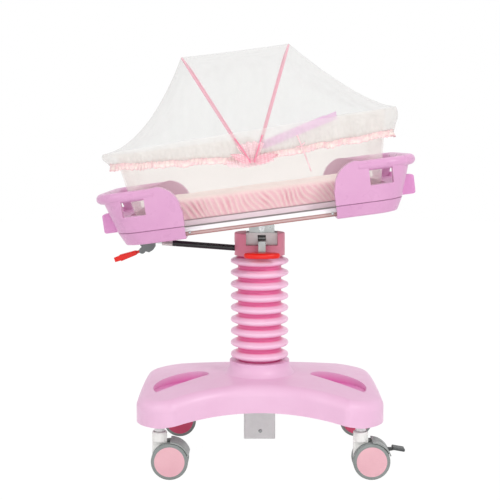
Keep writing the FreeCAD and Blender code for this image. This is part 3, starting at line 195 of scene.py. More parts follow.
def baseCoverPlastic():
    # injection moulded ABS: pale pink, with a painted rose shade deep in its two recesses
    material, tree = newMaterial("pinkAbsBase")
    place = add(tree, "ShaderNodeTexCoord").outputs["Object"]
    centre = (columnX, 0, baseTop["top"] - baseTop["radius"])
    out = add(tree, "ShaderNodeVectorMath", {0: place, 1: centre}, operation="DISTANCE").outputs["Value"]
    # painted shade share: 0 near the top's ball, 1 well below it, then kept to the recesses
    deep = spread(tree, out, baseTop["radius"] - baseTop["paintedShadeStartsAt"], baseTop["radius"] - baseTop["paintedShadeFullAt"])
    axes = add(tree, "ShaderNodeSeparateXYZ", {0: place}).outputs
    side = arith(tree, "ABSOLUTE", arith(tree, "SUBTRACT", axes[0], columnX))
    for edge, source in (("outer", side), ("inner", side), ("front", axes[1]), ("back", axes[1])):
        deep = arith(tree, "MULTIPLY", deep, spread(tree, source, *recessShade[edge]))
    marks = spread(tree, objectNoise(tree, 90, 3), 0.35, 0.7)
    tint = mixColour(tree, deep, mixColour(tree, marks, "#ECBFDC", "#E9BAD8"), "#E47CBE")
    gloss = spread(tree, objectNoise(tree, 26, 4), 0.3, 0.75, 0.31, 0.43)
    relief = bumps(tree, objectNoise(tree, 0.9), 0.04)
    surface(tree, Base_Color=tint, Roughness=gloss, Normal=relief, Specular_IOR_Level=0.45)
    return material


def brushedMetal(name, colour, roughness, along=(1, 1, 1)):
    # drawn or brushed steel: grey metal with fine lines along the way it was pulled
    material, tree = newMaterial(name)
    lines = objectNoise(tree, 2.5, 3, along)
    gloss = spread(tree, lines, 0.3, 0.7, roughness - 0.08, roughness + 0.08)
    tint = mixColour(tree, lines, colour, darker(colour, 0.85))
    surface(tree, Base_Color=tint, Roughness=gloss, Metallic=1.0, Normal=bumps(tree, lines, 0.06, 0.0002))
    return material


def dress(material, *names):
    for name in names:
        mesh = nodes[name].data
        mesh.materials.clear()
        mesh.materials.append(material)


shroudPlastic = mouldedPlastic("pinkAbsMouldings", "#D8A0C7", "#D49AC3", 0.3)
bumperRubber = mouldedPlastic("pinkSoftPvc", "#DE9ACC", "#D68FC4", 0.48, 1.2)
headPlastic = mouldedPlastic("rosePolypropylene", "#E2889F", "#DA7C94", 0.42)
whiteNylon = mouldedPlastic("whiteNylon", "#F2F1EE", "#E9E8E5", 0.4)
greyNylon = mouldedPlastic("greyNylon", "#9A9E9C", "#8E9290", 0.42)
darkNylon = mouldedPlastic("darkGreyNylon", "#4A4D4E", "#404344", 0.4)
discPlastic = mouldedPlastic("pinkNylonDisc", "#E9B6BF", "#E4AEB9", 0.38)
# a darker rose copy of the disc plastic for the rear casters: painted shade for their place under the base
shadedRearDiscPlastic = mouldedPlastic("paintedShadeNylonDisc", "#D84E74", "#D0446A", 0.38)
treadRubber = mouldedPlastic("greyPolyurethaneTread", "#8C9290", "#808684", 0.55, 1.5, 0.08)
redPlastic = mouldedPlastic("redAcetal", "#F01A0A", "#E21608", 0.32)
bushPlastic = mouldedPlastic("whiteAcetal", "#ECE9E2", "#E2DFD8", 0.4)
panPlastic = mouldedPlastic("whitePolystyrenePan", "#F4F0F2", "#EEE8EC", 0.35)
whiteSteel = paintedMetal("whitePowderCoatedSteel", "#F0F1F0", 0.24)
greySteel = paintedMetal("greyZincPlatedSteel", "#A2A6A5", 0.3, 0.6)
blackPaint = paintedMetal("blackEnamelledSpring", "#070708", 0.3)
zincAlloy = paintedMetal("dieCastZincHead", "#6C7070", 0.38, 0.7)
chromeRod = brushedMetal("hardChromedRod", "#D6D8DA", 0.14, (1, 6, 6))
columnSteel = brushedMetal("drawnSteelTube", "#C9CCCE", 0.32, (6, 6, 1))
screwSteel = brushedMetal("stainlessScrew", "#A9ABAC", 0.28)

dress(baseCoverPlastic(), "base_cover")
dress(shroudPlastic, "right_upper_shroud", "left_upper_shroud", "right_lower_shroud", "left_lower_shroud")
dress(bumperRubber, "right_bumpers", "left_bumpers")
dress(headPlastic, "column_head")
dress(bushPlastic, "column_bush")
dress(panPlastic, "tray_pan")
dress(whiteSteel, "base_frame", "column_foot", "outer_column", "head_bracket")
dress(greySteel, "tilt_ears", "spring_bracket", "spring_clevis", "paddle_arm")
dress(blackPaint, "tilt_spring_tube")
dress(chromeRod, "tilt_spring_rod", "lift_spring_rod")
dress(zincAlloy, "release_head")
dress(columnSteel, "inner_column", "lift_spring_cylinder")
dress(screwSteel, "pivot_bolt", "rail_screws", "foot_screw")
dress(redPlastic, "release_lever", "paddle_grip")
dress(whiteNylon, "hoop_clips")
for place in ("front_left", "front_right", "rear_left", "rear_right"):
    dress(whiteNylon, f"caster_{place}_housing")
    dress(greyNylon, f"caster_{place}_guard")
    dress(shadedRearDiscPlastic if "rear" in place else discPlastic, f"caster_{place}_discs")
    dress(treadRubber, f"caster_{place}_tyres")
for place in ("front_right", "rear_left"):
    dress(darkNylon, f"caster_{place}_pedal")


# heights above the tilt pivot, square to the tray, in metres: the step for the rails' painted shade, and the painted
# shadows along the seams
rail = {"lowerStep": (0.0282, 0.0292), "seams": (0.029, 0.021), "seamBelow": 0.002, "seamAbove": 0.003}


def railPaint():
    # white powder coat, with a painted brown-grey shade on the rails below a step, and a painted dark shadow along two
    # fine seams
    material, tree = newMaterial("whiteRailCoat")
    place = add(tree, "ShaderNodeTexCoord").outputs["Object"]
    level = add(tree, "ShaderNodeVectorMath", {0: place, 1: tuple(trayPivot)}, operation="SUBTRACT").outputs[0]
    height = add(tree, "ShaderNodeVectorMath", {0: level, 1: tuple(trayUp)},
                 operation="DOT_PRODUCT").outputs["Value"]
    # painted shade below the step and painted shadows along the seams
    paintedUnderShade = spread(tree, height, *rail["lowerStep"], 1, 0)
    seams = [arith(tree, "MULTIPLY", spread(tree, height, at - rail["seamBelow"], at),
                   spread(tree, height, at, at + rail["seamAbove"], 1, 0)) for at in rail["seams"]]
    seam = arith(tree, "MAXIMUM", *seams)
    band = mixColour(tree, paintedUnderShade, "#F3F1F1", "#BE9A98")
    tint = mixColour(tree, seam, band, "#86403C")
    gloss = spread(tree, objectNoise(tree, 30, 3), 0.3, 0.7, 0.18, 0.28)
    surface(tree, Base_Color=tint, Roughness=gloss)
    return material


dress(railPaint(), "tray_frame")
print("hard finishes made")


def acrylicWall(name, tint, milk, faceOn, edgeOn, glow=0.0):
    # cast acrylic with a slight milkiness: mostly see-through, whiter where it's seen edge on, with a hard clear
    # gloss, and a painted glow where glow is set
    material, tree = newMaterial(name)
    edge = add(tree, "ShaderNodeLayerWeight", {"Blend": 0.35}).outputs["Facing"]
    share = spread(tree, edge, 0, 1, faceOn, edgeOn)
    clear = add(tree, "ShaderNodeBsdfTransparent", {"Color": linear(tint)})
    haze = objectNoise(tree, 60, 2)
    cream = mixColour(tree, haze, milk, darker(milk, 0.97))
    # the milky part's emission is a painted glow
    solid = add(tree, "ShaderNodeBsdfPrincipled", {"Base Color": cream, "Roughness": 0.12, "Emission Color": cream,
                                                   "Emission Strength": glow})
    mixedSurface(tree, share, clear, solid)
    return material


# the tub's milk gets a faint painted glow
tubAcrylic = acrylicWall("milkyCastAcrylic", "#FDFCFB", "#F3F0ED", 0.09, 0.42, 0.1)
sleeveClear = acrylicWall("clearPvcSleeve", "#F4F0EE", "#D8CFCF", 0.35, 0.8)
dress(tubAcrylic, "tub")
dress(sleeveClear, "tilt_spring_collar")


def coatedCloth(name, colour, shade, weaveMm=1.6):
    # coated or bound cloth: a soft sheen over a faint weave, in patches of two close shades
    material, tree = newMaterial(name)
    patches = objectNoise(tree, 40, 3)
    tint = mixColour(tree, patches, colour, shade)
    relief = bumps(tree, objectNoise(tree, weaveMm, 1), 0.12)
    surface(tree, Base_Color=tint, Roughness=0.42, Sheen_Weight=0.2, Normal=relief)
    return material


guardVinyl = coatedCloth("lilacVinylEdging", "#F3C6EA", "#ECBAE4")
boardVinyl = coatedCloth("lilacVinylBoard", "#FAEEF8", "#F4E2F2")
tapeCloth = coatedCloth("pinkBindingTape", "#F9AEC2", "#F49AB3", 1.0)
dress(guardVinyl, "tub_edge_guards")
dress(boardVinyl, "mattress_board")
dress(tapeCloth, "left_hoop", "right_hoop")


def makePiece(name, shape, material, body, smooth=True):
    # a piece without a body is left unattached here
    mesh = bpy.data.meshes.new(name)
    shape.to_mesh(mesh)
    shape.free()
    if smooth:
        mesh.shade_smooth()
    piece = bpy.data.objects.new(name, mesh)
    scene.collection.objects.link(piece)
    mesh.materials.append(material)
    if body:
        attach(piece, body)
    return piece


def settle(piece):
    # puts what the piece's modifiers make into its mesh
    graph = bpy.context.evaluated_depsgraph_get()
    made = bpy.data.meshes.new_from_object(piece.evaluated_get(graph))
    piece.modifiers.clear()
    piece.data = made
    made.shade_smooth()


def ripple(x, y, z, size):
    # smooth, from -1 to 1, with lumps about size mm across
    return noise.noise(Vector((x, y, z)) / size)


bellows = {"bottom": 281, "top": 586, "rings": 9, "neck": 62, "outer": 83, "root": 12.4, "tip": 6.4, "wall": 2.5,
           "filletOut": 1, "filletDown": 0.8, "paleIn": 11, "steps": 96, "arcSteps": 8}


def bellowsProfile():
    # (radius, height) from the bottom neck to the top neck; each ring is a wedge with a round tip
    neck, root, tip = bellows["neck"], bellows["root"], bellows["tip"]
    pitch = (bellows["top"] - bellows["bottom"]) / bellows["rings"]
    centre = bellows["outer"] - tip
    lean = math.atan2(root - tip, centre - neck)
    points = [(neck, bellows["bottom"])]
    for ring in range(bellows["rings"]):
        middle = bellows["bottom"] + (ring + 0.5) * pitch
        points += [(neck, middle - root - bellows["filletDown"]), (neck + bellows["filletOut"], middle - root)]
        for step in range(bellows["arcSteps"] + 1):
            turn = (math.pi / 2 - lean) * (2 * step / bellows["arcSteps"] - 1)
            points.append((centre + tip * math.cos(turn), middle + tip * math.sin(turn)))
        points += [(neck + bellows["filletOut"], middle + root), (neck, middle + root + bellows["filletDown"])]
    return points + [(neck, bellows["top"])]


def makeBellows():
    shape = bmesh.new()
    last = None
    for radius, height in bellowsProfile():
        here = shape.verts.new((columnX + radius * mm, 0, height * mm))
        if last:
            shape.edges.new((last, here))
        last = here
    bmesh.ops.spin(shape, geom=shape.verts[:] + shape.edges[:], cent=(columnX, 0, 0), axis=(0, 0, 1),
                   angle=math.tau, steps=bellows["steps"], use_merge=True)
    bmesh.ops.remove_doubles(shape, verts=shape.verts, dist=0.00002)
    bmesh.ops.recalc_face_normals(shape, faces=shape.faces)
    material, tree = newMaterial("pinkSoftPvcBellows")
    # soft PVC bellows, dip moulded: pale satin lobes, with a painted deep rose shade in the grooves
    place = add(tree, "ShaderNodeTexCoord").outputs["Object"]
    centred = add(tree, "ShaderNodeVectorMath", {0: place, 1: (columnX, 0, 0)}, operation="SUBTRACT").outputs[0]
    flat = add(tree, "ShaderNodeVectorMath", {0: centred, 1: (1, 1, 0)}, operation="MULTIPLY").outputs[0]
    radius = add(tree, "ShaderNodeVectorMath", {0: flat}, operation="LENGTH").outputs["Value"]
    # painted groove shade: 1 at the neck, fading to 0 out on the lobes
    depth = spread(tree, radius, (bellows["neck"] + bellows["filletOut"]) * mm,
                   (bellows["outer"] - bellows["paleIn"]) * mm, 1, 0)
    marks = spread(tree, objectNoise(tree, 50, 3), 0.3, 0.7)
    pale = mixColour(tree, marks, "#F7CEE4", "#F3C4DE")
    tint = mixColour(tree, depth, pale, "#E4689E")
    surface(tree, Base_Color=tint, Roughness=0.36, Normal=bumps(tree, objectNoise(tree, 1.2), 0.05))
    piece = makePiece("bellowsCover", shape, material, None)
    wall = piece.modifiers.new("wall", "SOLIDIFY")
    wall.thickness, wall.offset = bellows["wall"] * mm, -1
    settle(piece)
    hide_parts("bellows")
    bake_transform(piece)


makeBellows()
print("bellows made")

# in mm; pressure and frames are those of the cloth simulation
mattress = {"half": (316, 154), "low": 56.6, "high": 114, "corner": 50, "edge": 13, "voxel": 6.0, "pressure": 4.0,
            "frames": 20, "cap": 5.0, "pleat": 16.0, "pleatDepth": 6.0, "lean": 0.55,
            "band": 14, "pinned": 6, "topEdge": 10, "foldShadeFrom": 2.2, "foldShadeOver": 3}


def roundedBlock(half, low, high, corner, edge):
    # level, with round corners in plan and round edges, in mm
    shape = bmesh.new()
    bmesh.ops.create_cube(shape, size=1)
    bmesh.ops.scale(shape, vec=(2 * half[0], 2 * half[1], high - low), verts=shape.verts)
    bmesh.ops.translate(shape, vec=(0, 0, (low + high) / 2), verts=shape.verts)
    upright = [e for e in shape.edges if abs(e.verts[0].co.z - e.verts[1].co.z) > 1]
    bmesh.ops.bevel(shape, geom=upright, offset=corner, offset_type="OFFSET", affect="EDGES", segments=10,
                    profile=0.5, material=-1)
    level = [e for e in shape.edges if abs(e.verts[0].co.z - e.verts[1].co.z) < 0.01
             and len(e.link_faces) == 2 and any(abs(f.normal.z) > 0.9 for f in e.link_faces)
             and any(abs(f.normal.z) < 0.1 for f in e.link_faces)]
    bmesh.ops.bevel(shape, geom=level, offset=edge, offset_type="OFFSET", affect="EDGES", segments=4,
                    profile=0.5, material=-1)
    return shape


def remesh(piece, voxel):
    voxels = piece.modifiers.new("remesh", "REMESH")
    voxels.mode = "VOXEL"
    voxels.voxel_size = voxel * mm
    settle(piece)


def swell(piece, pinned, pressure, frames, cap):
    # blows a closed form up as cloth and keeps each point within cap mm of where it was
    start = [v.co.copy() for v in piece.data.vertices]
    group = piece.vertex_groups.new(name="held")
    group.add([i for i, place in enumerate(start) if pinned(place)], 1.0, "REPLACE")
    cloth = piece.modifiers.new("cloth", "CLOTH")
    cloth.settings.use_pressure = True
    cloth.settings.uniform_pressure_force = pressure
    cloth.settings.vertex_group_mass = "held"
    cloth.settings.effector_weights.gravity = 0
    cloth.settings.mass = 0.3
    cloth.point_cache.frame_start = 1
    cloth.point_cache.frame_end = frames
    for step in range(1, frames + 1):
        scene.frame_set(step)
    settle(piece)
    scene.frame_set(1)
    for vertex, before in zip(piece.data.vertices, start):
        move = vertex.co - before
        if move.length > cap * mm:
            vertex.co = before + move.normalized() * cap * mm


def pleatedSide(place):
    # moves a level point, in mm, for the gathered folds that lean round the sides
    x, y, z = place
    hx, hy = mattress["half"]
    outX, outY = abs(x) - (hx - mattress["corner"]), abs(y) - (hy - mattress["corner"])
    if outX > 0 and outY > 0:
        out = Vector((math.copysign(outX, x), math.copysign(outY, y), 0))
        edgeGap = mattress["corner"] - out.length
    else:
        towardsEnd = hx - abs(x) < hy - abs(y)
        out = Vector((math.copysign(1, x), 0, 0)) if towardsEnd else Vector((0, math.copysign(1, y), 0))
        edgeGap = min(hx - abs(x), hy - abs(y))
    if edgeGap > mattress["band"] or out.length == 0:
        wrinkle = 1.3 * ripple(x, y, 0, 70) + 0.7 * ripple(x, y, 9, 24)
        return Vector((x, y, z + (wrinkle if z > (mattress["low"] + mattress["high"]) / 2 else 0)))
    out.normalize()
    around = math.atan2(y / hy, x / hx) * 0.5 * (hx + hy)
    run = (x * math.copysign(1, -y) if abs(out.y) > 0.5 else around) + mattress["lean"] * z
    warp = run + 20 * ripple(x, y, z, 75)
    fold = math.sin(math.tau * warp / mattress["pleat"] + 2.2 * ripple(x, y, 3, 90))
    strength = 0.7 + 1.4 * max(0, ripple(x, y, 40, 45) + 0.15)
    share = (z - mattress["low"]) / (mattress["high"] - mattress["low"])
    fade = max(0.0, math.sin(math.pi * min(max(share, 0), 1))) ** 0.5
    nearEdge = 1 - max(0, edgeGap) / mattress["band"]
    depth = mattress["pleatDepth"] * strength * fade * nearEdge
    return Vector((x, y, z)) + out * ((abs(fold) ** 0.7 * math.copysign(1, fold)) * depth * 0.5 - depth * 0.4)


def makeMattress():
    shape = roundedBlock(mattress["half"], mattress["low"], mattress["high"], mattress["corner"], mattress["edge"])
    bmesh.ops.scale(shape, vec=(mm, mm, mm), verts=shape.verts)
    material, tree = newMaterial("pinkCottonSateen")
    # cotton sateen cover over foam: matt pink with a soft sheen and a fine weave, a painted rose shade where its
    # pleats go in and a painted cream highlight on their crests and along the top edge
    place = add(tree, "ShaderNodeTexCoord").outputs["Object"]
    patches = objectNoise(tree, 30, 3)
    # painted light: a rose shade where the pleats go in and a cream highlight on their crests and the top edge
    paintedFoldShade = add(tree, "ShaderNodeAttribute", attribute_name="fold").outputs["Fac"]
    pale = mixColour(tree, patches, "#F9CAD6", "#F4BACA")
    paintedRidgeHighlight = add(tree, "ShaderNodeAttribute", attribute_name="paintedRidgeHighlight").outputs["Fac"]
    tint = mixColour(tree, paintedFoldShade, mixColour(tree, paintedRidgeHighlight, pale, "#FFEDE7"), "#D85F86")
    threads = [add(tree, "ShaderNodeTexWave", {"Vector": place, "Scale": 260.0, "Distortion": 0.6},
                   bands_direction=direction).outputs[1] for direction in ("X", "Y")]
    relief = bumps(tree, arith(tree, "MULTIPLY", *threads), 0.12, 0.0003)
    surface(tree, Base_Color=tint, Roughness=0.62, Sheen_Weight=0.25, Normal=relief)
    piece = makePiece("mattressPad", shape, material, None)
    remesh(piece, mattress["voxel"])
    lowest = (mattress["low"] + mattress["pinned"]) * mm
    swell(piece, lambda place: place.z < lowest, mattress["pressure"], mattress["frames"], mattress["cap"])
    finer = piece.modifiers.new("finer", "SUBSURF")
    finer.levels = finer.render_levels = 1
    settle(piece)
    folds = piece.data.attributes.new("fold", "FLOAT", "POINT")
    highlightShares = piece.data.attributes.new("paintedRidgeHighlight", "FLOAT", "POINT")
    for vertex in piece.data.vertices:
        before = vertex.co / mm
        after = pleatedSide(before)
        outwards = (after - before).xy.dot(before.xy.normalized())
        # painted shade share where the pleats push a point in; painted highlight share where they push it out and near
        # the top edge
        folds.data[vertex.index].value = min(1, max(0, -outwards - mattress["foldShadeFrom"]) / mattress["foldShadeOver"])
        topShare = (before.z - mattress["high"] + mattress["topEdge"]) / mattress["topEdge"]
        highlightShares.data[vertex.index].value = min(1, max(0.8 * topShare, (outwards + 0.5) / 0.9, 0))
        vertex.co = intoTray @ (after * mm)
    piece.data.shade_smooth()
    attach(piece, "mattress")
    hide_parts("mattress")


makeMattress()
print("mattress made")

net = {"halfLength": 394, "halfWidth": 224.5, "footRim": 262, "headRim": 286, "corner": 46,
       "leftPivot": (-13, 193), "rightPivot": (9, 193), "leftTop": (-151.5, 486), "rightTop": (133, 484),
       "hoopWidth": 217.6, "hoopCorner": 67, "off": 4.2, "footSag": 1.95, "headSag": 1.38,
       "hem": (226, 200, 219), "slack": 2.5, "folds": 26, "foldLift": 1.3, "foldSide": 1.6}
# sizes of the UV maps in metres: they scale the net's holes and place the frill's rose edges
uvSize = {"roof": (1.02, 0.86), "band": (2.4, 0.06), "frill": (3.9, 0.03)}


def rimHeight(x):
    share = (x + net["halfLength"]) / (2 * net["halfLength"])
    return net["footRim"] + (net["headRim"] - net["footRim"]) * share


def hemHeight(x):
    foot, middle, head = net["hem"]
    if x < net["leftPivot"][0]:
        share = (x + net["halfLength"]) / (net["leftPivot"][0] + net["halfLength"])
        return foot + (middle - foot) * share
    share = max(0, x - net["rightPivot"][0]) / (net["halfLength"] - net["rightPivot"][0])
    return middle + (head - middle) * share


def roundPlan(x, y, halfLength, halfWidth, corner):
    # pulls a point that is outside the rounded rectangle's corner back onto it
    centre = Vector((halfLength - corner, halfWidth - corner))
    out = Vector((abs(x), abs(y))) - centre
    if out.x > 0 and out.y > 0 and out.length > corner:
        out = out.normalized() * corner
        return math.copysign(centre.x + out.x, x), math.copysign(centre.y + out.y, y)
    return x, y


def archPoint(share, pivot, top):
    # on a hoop's outside: share is -1 at the front rim, 0 at the crest and 1 at the back rim
    up = Vector((top[0] - pivot[0], top[1] - pivot[1]))
    height = up.length + net["off"]
    up.normalize()
    half, corner = net["hoopWidth"] + net["off"], net["hoopCorner"]
    rimRise = (rimHeight(pivot[0]) - pivot[1]) / up.y
    leg, bend, flat = height - corner - rimRise, corner * math.pi / 2, half - corner
    run = abs(share) * (leg + bend + flat)
    if run < flat:
        y, rise = run, height
    elif run < flat + bend:
        turn = (run - flat) / corner
        y, rise = flat + corner * math.sin(turn), height - corner * (1 - math.cos(turn))
    else:
        y, rise = half, height - corner - (run - flat - bend)
    return Vector((pivot[0] + up.x * rise, math.copysign(y, share), pivot[1] + up.y * rise))


def roofPoint(along, share):
    # level mm; along is 0 at the foot line, 1 at the left hoop, 2 at the right hoop and 3 at the head line
    left = archPoint(share, net["leftPivot"], net["leftTop"])
    right = archPoint(share, net["rightPivot"], net["rightTop"])
    widen = net["halfWidth"] / (net["hoopWidth"] + net["off"])
    if 1 <= along <= 2:
        place = left.lerp(right, along - 1)
        slack = math.sin(math.pi * (along - 1)) * net["slack"] * (1 - abs(share)) ** 0.5
        place.z -= slack
        low = rimHeight(place.x)
    else:
        hoop, side = (left, -1) if along < 1 else (right, 1)
        part = along if along < 1 else 3 - along
        power = net["footSag"] if along < 1 else net["headSag"]
        endX = side * net["halfLength"]
        x = endX + (hoop.x - endX) * part
        rise = (hoop.z - rimHeight(hoop.x)) * part ** power
        y = hoop.y * (widen + (1 - widen) * part)
        place = Vector((x, y, rimHeight(x) + rise))
        drape = math.sin(math.pi * min(part, 1)) * min(1.0, max(0, rise) / 30)
        folds = math.sin(net["folds"] * share + 3 * ripple(x, y, 0, 160))
        place += Vector((0.2 * side, 0, 0.6)) * folds * net["foldLift"] * drape
        place.y -= math.copysign(folds * net["foldSide"] * drape, place.y) * min(1, abs(share) * 1.6)
        place.x, place.y = roundPlan(place.x, place.y, net["halfLength"], net["halfWidth"], net["corner"])
        low = rimHeight(place.x)
    place.z += 0.8 * ripple(place.x, place.y, place.z, 70) * min(1.0, max(0, place.z - low) / 40)
    place.z = max(place.z, low)
    return place


def gauze(name, colour, weight, streaks, holesMm=2.4, densest=0.92):
    # knitted polyester net: a thin haze of white threads round fine holes, denser in streaks
    material, tree = newMaterial(name)
    coords = add(tree, "ShaderNodeTexCoord")
    cells = add(tree, "ShaderNodeTexVoronoi", {"Vector": coords.outputs["UV"], "Scale": 1000 / holesMm},
                feature="DISTANCE_TO_EDGE", voronoi_dimensions="2D").outputs[0]
    thread = spread(tree, cells, 0.02, 0.2, 1.1, 0.96)
    folds = spread(tree, objectNoise(tree, 90, 1, (2.0, 2.0, 0.4)), 0.3, 0.7, 1 - streaks, 1 + streaks)
    share = arith(tree, "MULTIPLY", arith(tree, "MULTIPLY", weight, thread), folds)
    share = arith(tree, "MINIMUM", share, densest)
    cloth = add(tree, "ShaderNodeBsdfPrincipled", {"Base Color": linear(colour), "Roughness": 0.85})
    through = add(tree, "ShaderNodeBsdfTransparent", {"Color": (1, 1, 1, 1)})
    mixedSurface(tree, share, through, cloth)
    return material


def mappedGrid(columns, rows, place, size):
    # points are placed by place(u, v), the UV map is in metres, and edges that meet are joined
    shape = bmesh.new()
    bmesh.ops.create_grid(shape, x_segments=columns, y_segments=rows, size=0.5)
    uvs = shape.loops.layers.uv.new("cloth")
    for face in shape.faces:
        for loop in face.loops:
            loop[uvs].uv = ((loop.vert.co.x + 0.5) * size[0], (loop.vert.co.y + 0.5) * size[1])
    for vert in shape.verts:
        vert.co = place(vert.co.x + 0.5, vert.co.y + 0.5)
    bmesh.ops.remove_doubles(shape, verts=shape.verts, dist=0.0001)
    bmesh.ops.recalc_face_normals(shape, faces=shape.faces)
    return shape


netMaterial = gauze("whitePolyesterNet", "#D9DBD8", 0.26, 0.12)
bandMaterial = gauze("gatheredNetBand", "#E6E4E0", 0.42, 0.16)


def makeRoof():
    shape = mappedGrid(150, 120, lambda u, v: intoTray @ (roofPoint(u * 3, v * 2 - 1) * mm), uvSize["roof"])
    roof = makePiece("netRoof", shape, netMaterial, "net")
    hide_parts("net")
    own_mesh(roof)


def planLoop(share, halfLength, halfWidth, corner):
    # the point and the way outwards at a share of the way round a rounded rectangle, from the middle of the front
    straightX, straightY, bend = 2 * (halfLength - corner), 2 * (halfWidth - corner), corner * math.pi / 2
    runs = [straightX / 2, bend, straightY, bend, straightX, bend, straightY, bend, straightX / 2]
    left = share % 1 * sum(runs)
    turn = 0
    for index, run in enumerate(runs):
        if left <= run or index == len(runs) - 1:
            break
        left -= run
        turn += index % 2
    angle = turn * math.pi / 2
    back = Matrix.Rotation(angle, 2)
    if index % 2:
        bendAngle = left / corner
        local = Vector((corner * math.sin(bendAngle), -corner * math.cos(bendAngle)))
        out = Vector((math.sin(bendAngle), -math.cos(bendAngle)))
        centres = [(1, -1), (1, 1), (-1, 1), (-1, -1)]
        cx, cy = centres[turn % 4]
        centre = Vector((cx * (halfLength - corner), cy * (halfWidth - corner)))
        return centre + back @ local, back @ out
    out = back @ Vector((0, -1))
    starts = [(0, -halfWidth), (halfLength, -halfWidth + corner), (halfLength - corner, halfWidth),
              (-halfLength, halfWidth - corner), (-halfLength + corner, -halfWidth)]
    start = Vector(starts[index // 2])
    return start + back @ Vector((left, 0)), out


skirtFolds = {"gathers": 150, "bulge": 4.0, "tuck": 1.5, "swing": 1.4, "headIn": 14, "footIn": 18}


def skirtPoint(u, v):
    # v is 0 at the hem and 1 at the rim line
    place, out = planLoop(u, net["halfLength"], net["halfWidth"], net["corner"])
    top, bottom = rimHeight(place.x), hemHeight(place.x)
    down = 1 - v
    bulge = skirtFolds["bulge"] * math.sin(math.pi * min(1, down * 1.5)) - skirtFolds["tuck"] * down ** 2
    gather = math.sin(math.tau * skirtFolds["gathers"] * u + 4 * ripple(place.x, place.y, 0, 60)) * down ** 1.2
    swing = skirtFolds["swing"] * ripple(place.x, place.y, 20, 60) * math.sin(math.pi * down)
    ends = skirtFolds["headIn" if out.x > 0 else "footIn"] * down ** 2 * abs(out.x)
    place = place + out * (bulge + gather + swing - ends)
    return intoTray @ (Vector((place.x, place.y, top + (bottom - top) * down)) * mm)


def makeSkirt():
    shape = mappedGrid(760, 14, skirtPoint, uvSize["band"])
    skirt = makePiece("netSkirt", shape, bandMaterial, "net")
    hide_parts("net")


ruffle = {"height": 17, "waves": 210, "depth": 2.6, "seam": 0.66, "inEnds": 18, "inSides": 1, "inCorner": 10}


def rufflePoint(u, v):
    # stitched above its middle and flaring to both edges
    place, out = planLoop(u, net["halfLength"] - ruffle["inEnds"], net["halfWidth"] - ruffle["inSides"],
                          net["corner"] - ruffle["inCorner"])
    flare = abs(v - ruffle["seam"]) / ruffle["seam"]
    phase = math.tau * ruffle["waves"] * u + 9 * ripple(place.x, place.y, 0, 40)
    lump = 0.75 + 0.9 * ripple(place.x, place.y, 7, 22)
    wave = math.sin(phase) * ruffle["depth"] * (0.25 + flare ** 0.8) * lump
    drift = 2.2 * ripple(place.x, place.y, 50, 14) * flare
    height = hemHeight(place.x) + ruffle["height"] * (v - 0.45) + 1.6 * math.cos(phase) * flare * lump
    height += 3.6 * ripple(place.x, place.y, 30, 24) * (0.4 + flare)
    place = place + out * (1.6 + 2.4 * flare + wave + drift)
    return intoTray @ (Vector((place.x, place.y, height)) * mm)


def makeRuffle():
    shape = mappedGrid(1500, 6, rufflePoint, uvSize["frill"])
    material, tree = newMaterial("pinkSatinFrill")
    # polyester satin frill with a rose edge: shiny thin cloth in patches from cream to pink
    height = add(tree, "ShaderNodeSeparateXYZ", {0: add(tree, "ShaderNodeTexCoord").outputs["UV"]}).outputs[1]
    edgeLow = spread(tree, height, 0.0, 0.005, 0.75, 0)
    edgeHigh = spread(tree, height, 0.026, 0.03, 0, 0.5)
    rim = arith(tree, "MAXIMUM", edgeLow, edgeHigh)
    patches = spread(tree, objectNoise(tree, 14, 3), 0.35, 0.65)
    body = mixColour(tree, patches, "#F8E8E0", "#F4CBCF")
    tint = mixColour(tree, rim, body, "#E497A6")
    relief = bumps(tree, objectNoise(tree, 1.0, 1), 0.1, 0.0003)
    surface(tree, Base_Color=tint, Roughness=0.4, Sheen_Weight=0.3, Alpha=0.8, Normal=relief)
    frill = makePiece("hemRuffle", shape, material, "net")
    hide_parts("net_ruffle")


makeRoof()
makeSkirt()
makeRuffle()
print("net made")

bow = {"knot": (-2, 188), "fan": 52, "fanSpread": 37, "leftWing": (50, 26), "rightWing": (66, 11), "front": 232.5,
       "knotSize": (6, 5, 13)}


def organza(name, colour, deep, cover):
    # nylon organza with woven dots: crisp, half see-through, small round dots every 7 mm
    material, tree = newMaterial(name)
    cloth = add(tree, "ShaderNodeTexCoord").outputs["UV"]
    dots = add(tree, "ShaderNodeTexVoronoi", {"Vector": cloth, "Scale": 1000 / 7, "Randomness": 0.15},
               feature="F1", voronoi_dimensions="2D").outputs[0]
    dot = spread(tree, dots, 0.16, 0.28, 0.5, 0)
    patches = spread(tree, objectNoise(tree, 12, 3), 0.3, 0.7)
    tint = mixColour(tree, dot, mixColour(tree, patches, colour, deep), "#FFF8F6")
    surface(tree, Base_Color=tint, Roughness=0.35, Sheen_Weight=0.4,
            Alpha=spread(tree, dot, 0, 1, cover, 0.95))
    return material


bowMaterial = organza("dottedOrganza", "#FDDDE2", "#F8C3CC", 0.66)
tipMaterial = organza("roseOrganza", "#FBCFD6", "#F0A4B4", 0.72)
# polyester satin piping: narrow, shiny and a deeper pink
pipingMaterial, tree = newMaterial("pinkSatinPiping")
weave = objectNoise(tree, 1.2)
surface(tree, Base_Color=mixColour(tree, weave, "#F38FAA", "#E87C9A"), Roughness=0.35, Sheen_Weight=0.3,
        Normal=bumps(tree, weave, 0.1, 0.0003))


def fanPoint(u, v):
    # u goes across, v from the knot up
    x0, z0 = bow["knot"]
    side = u * 2 - 1
    width = 6 + (bow["fanSpread"] - 6) * v ** 0.8
    pleat = math.cos(math.pi * 9 * u)
    y = -bow["front"] - 1 - 2.5 * pleat * (0.3 + v) - 4 * v * (1 - side * side)
    z = z0 + 4 + bow["fan"] * v * (1 - 0.14 * side * side) + 1.5 * pleat * v + 2 * ripple(40 * u, v, 3, 8) * v
    return inTray(x0 + side * width, y, z)


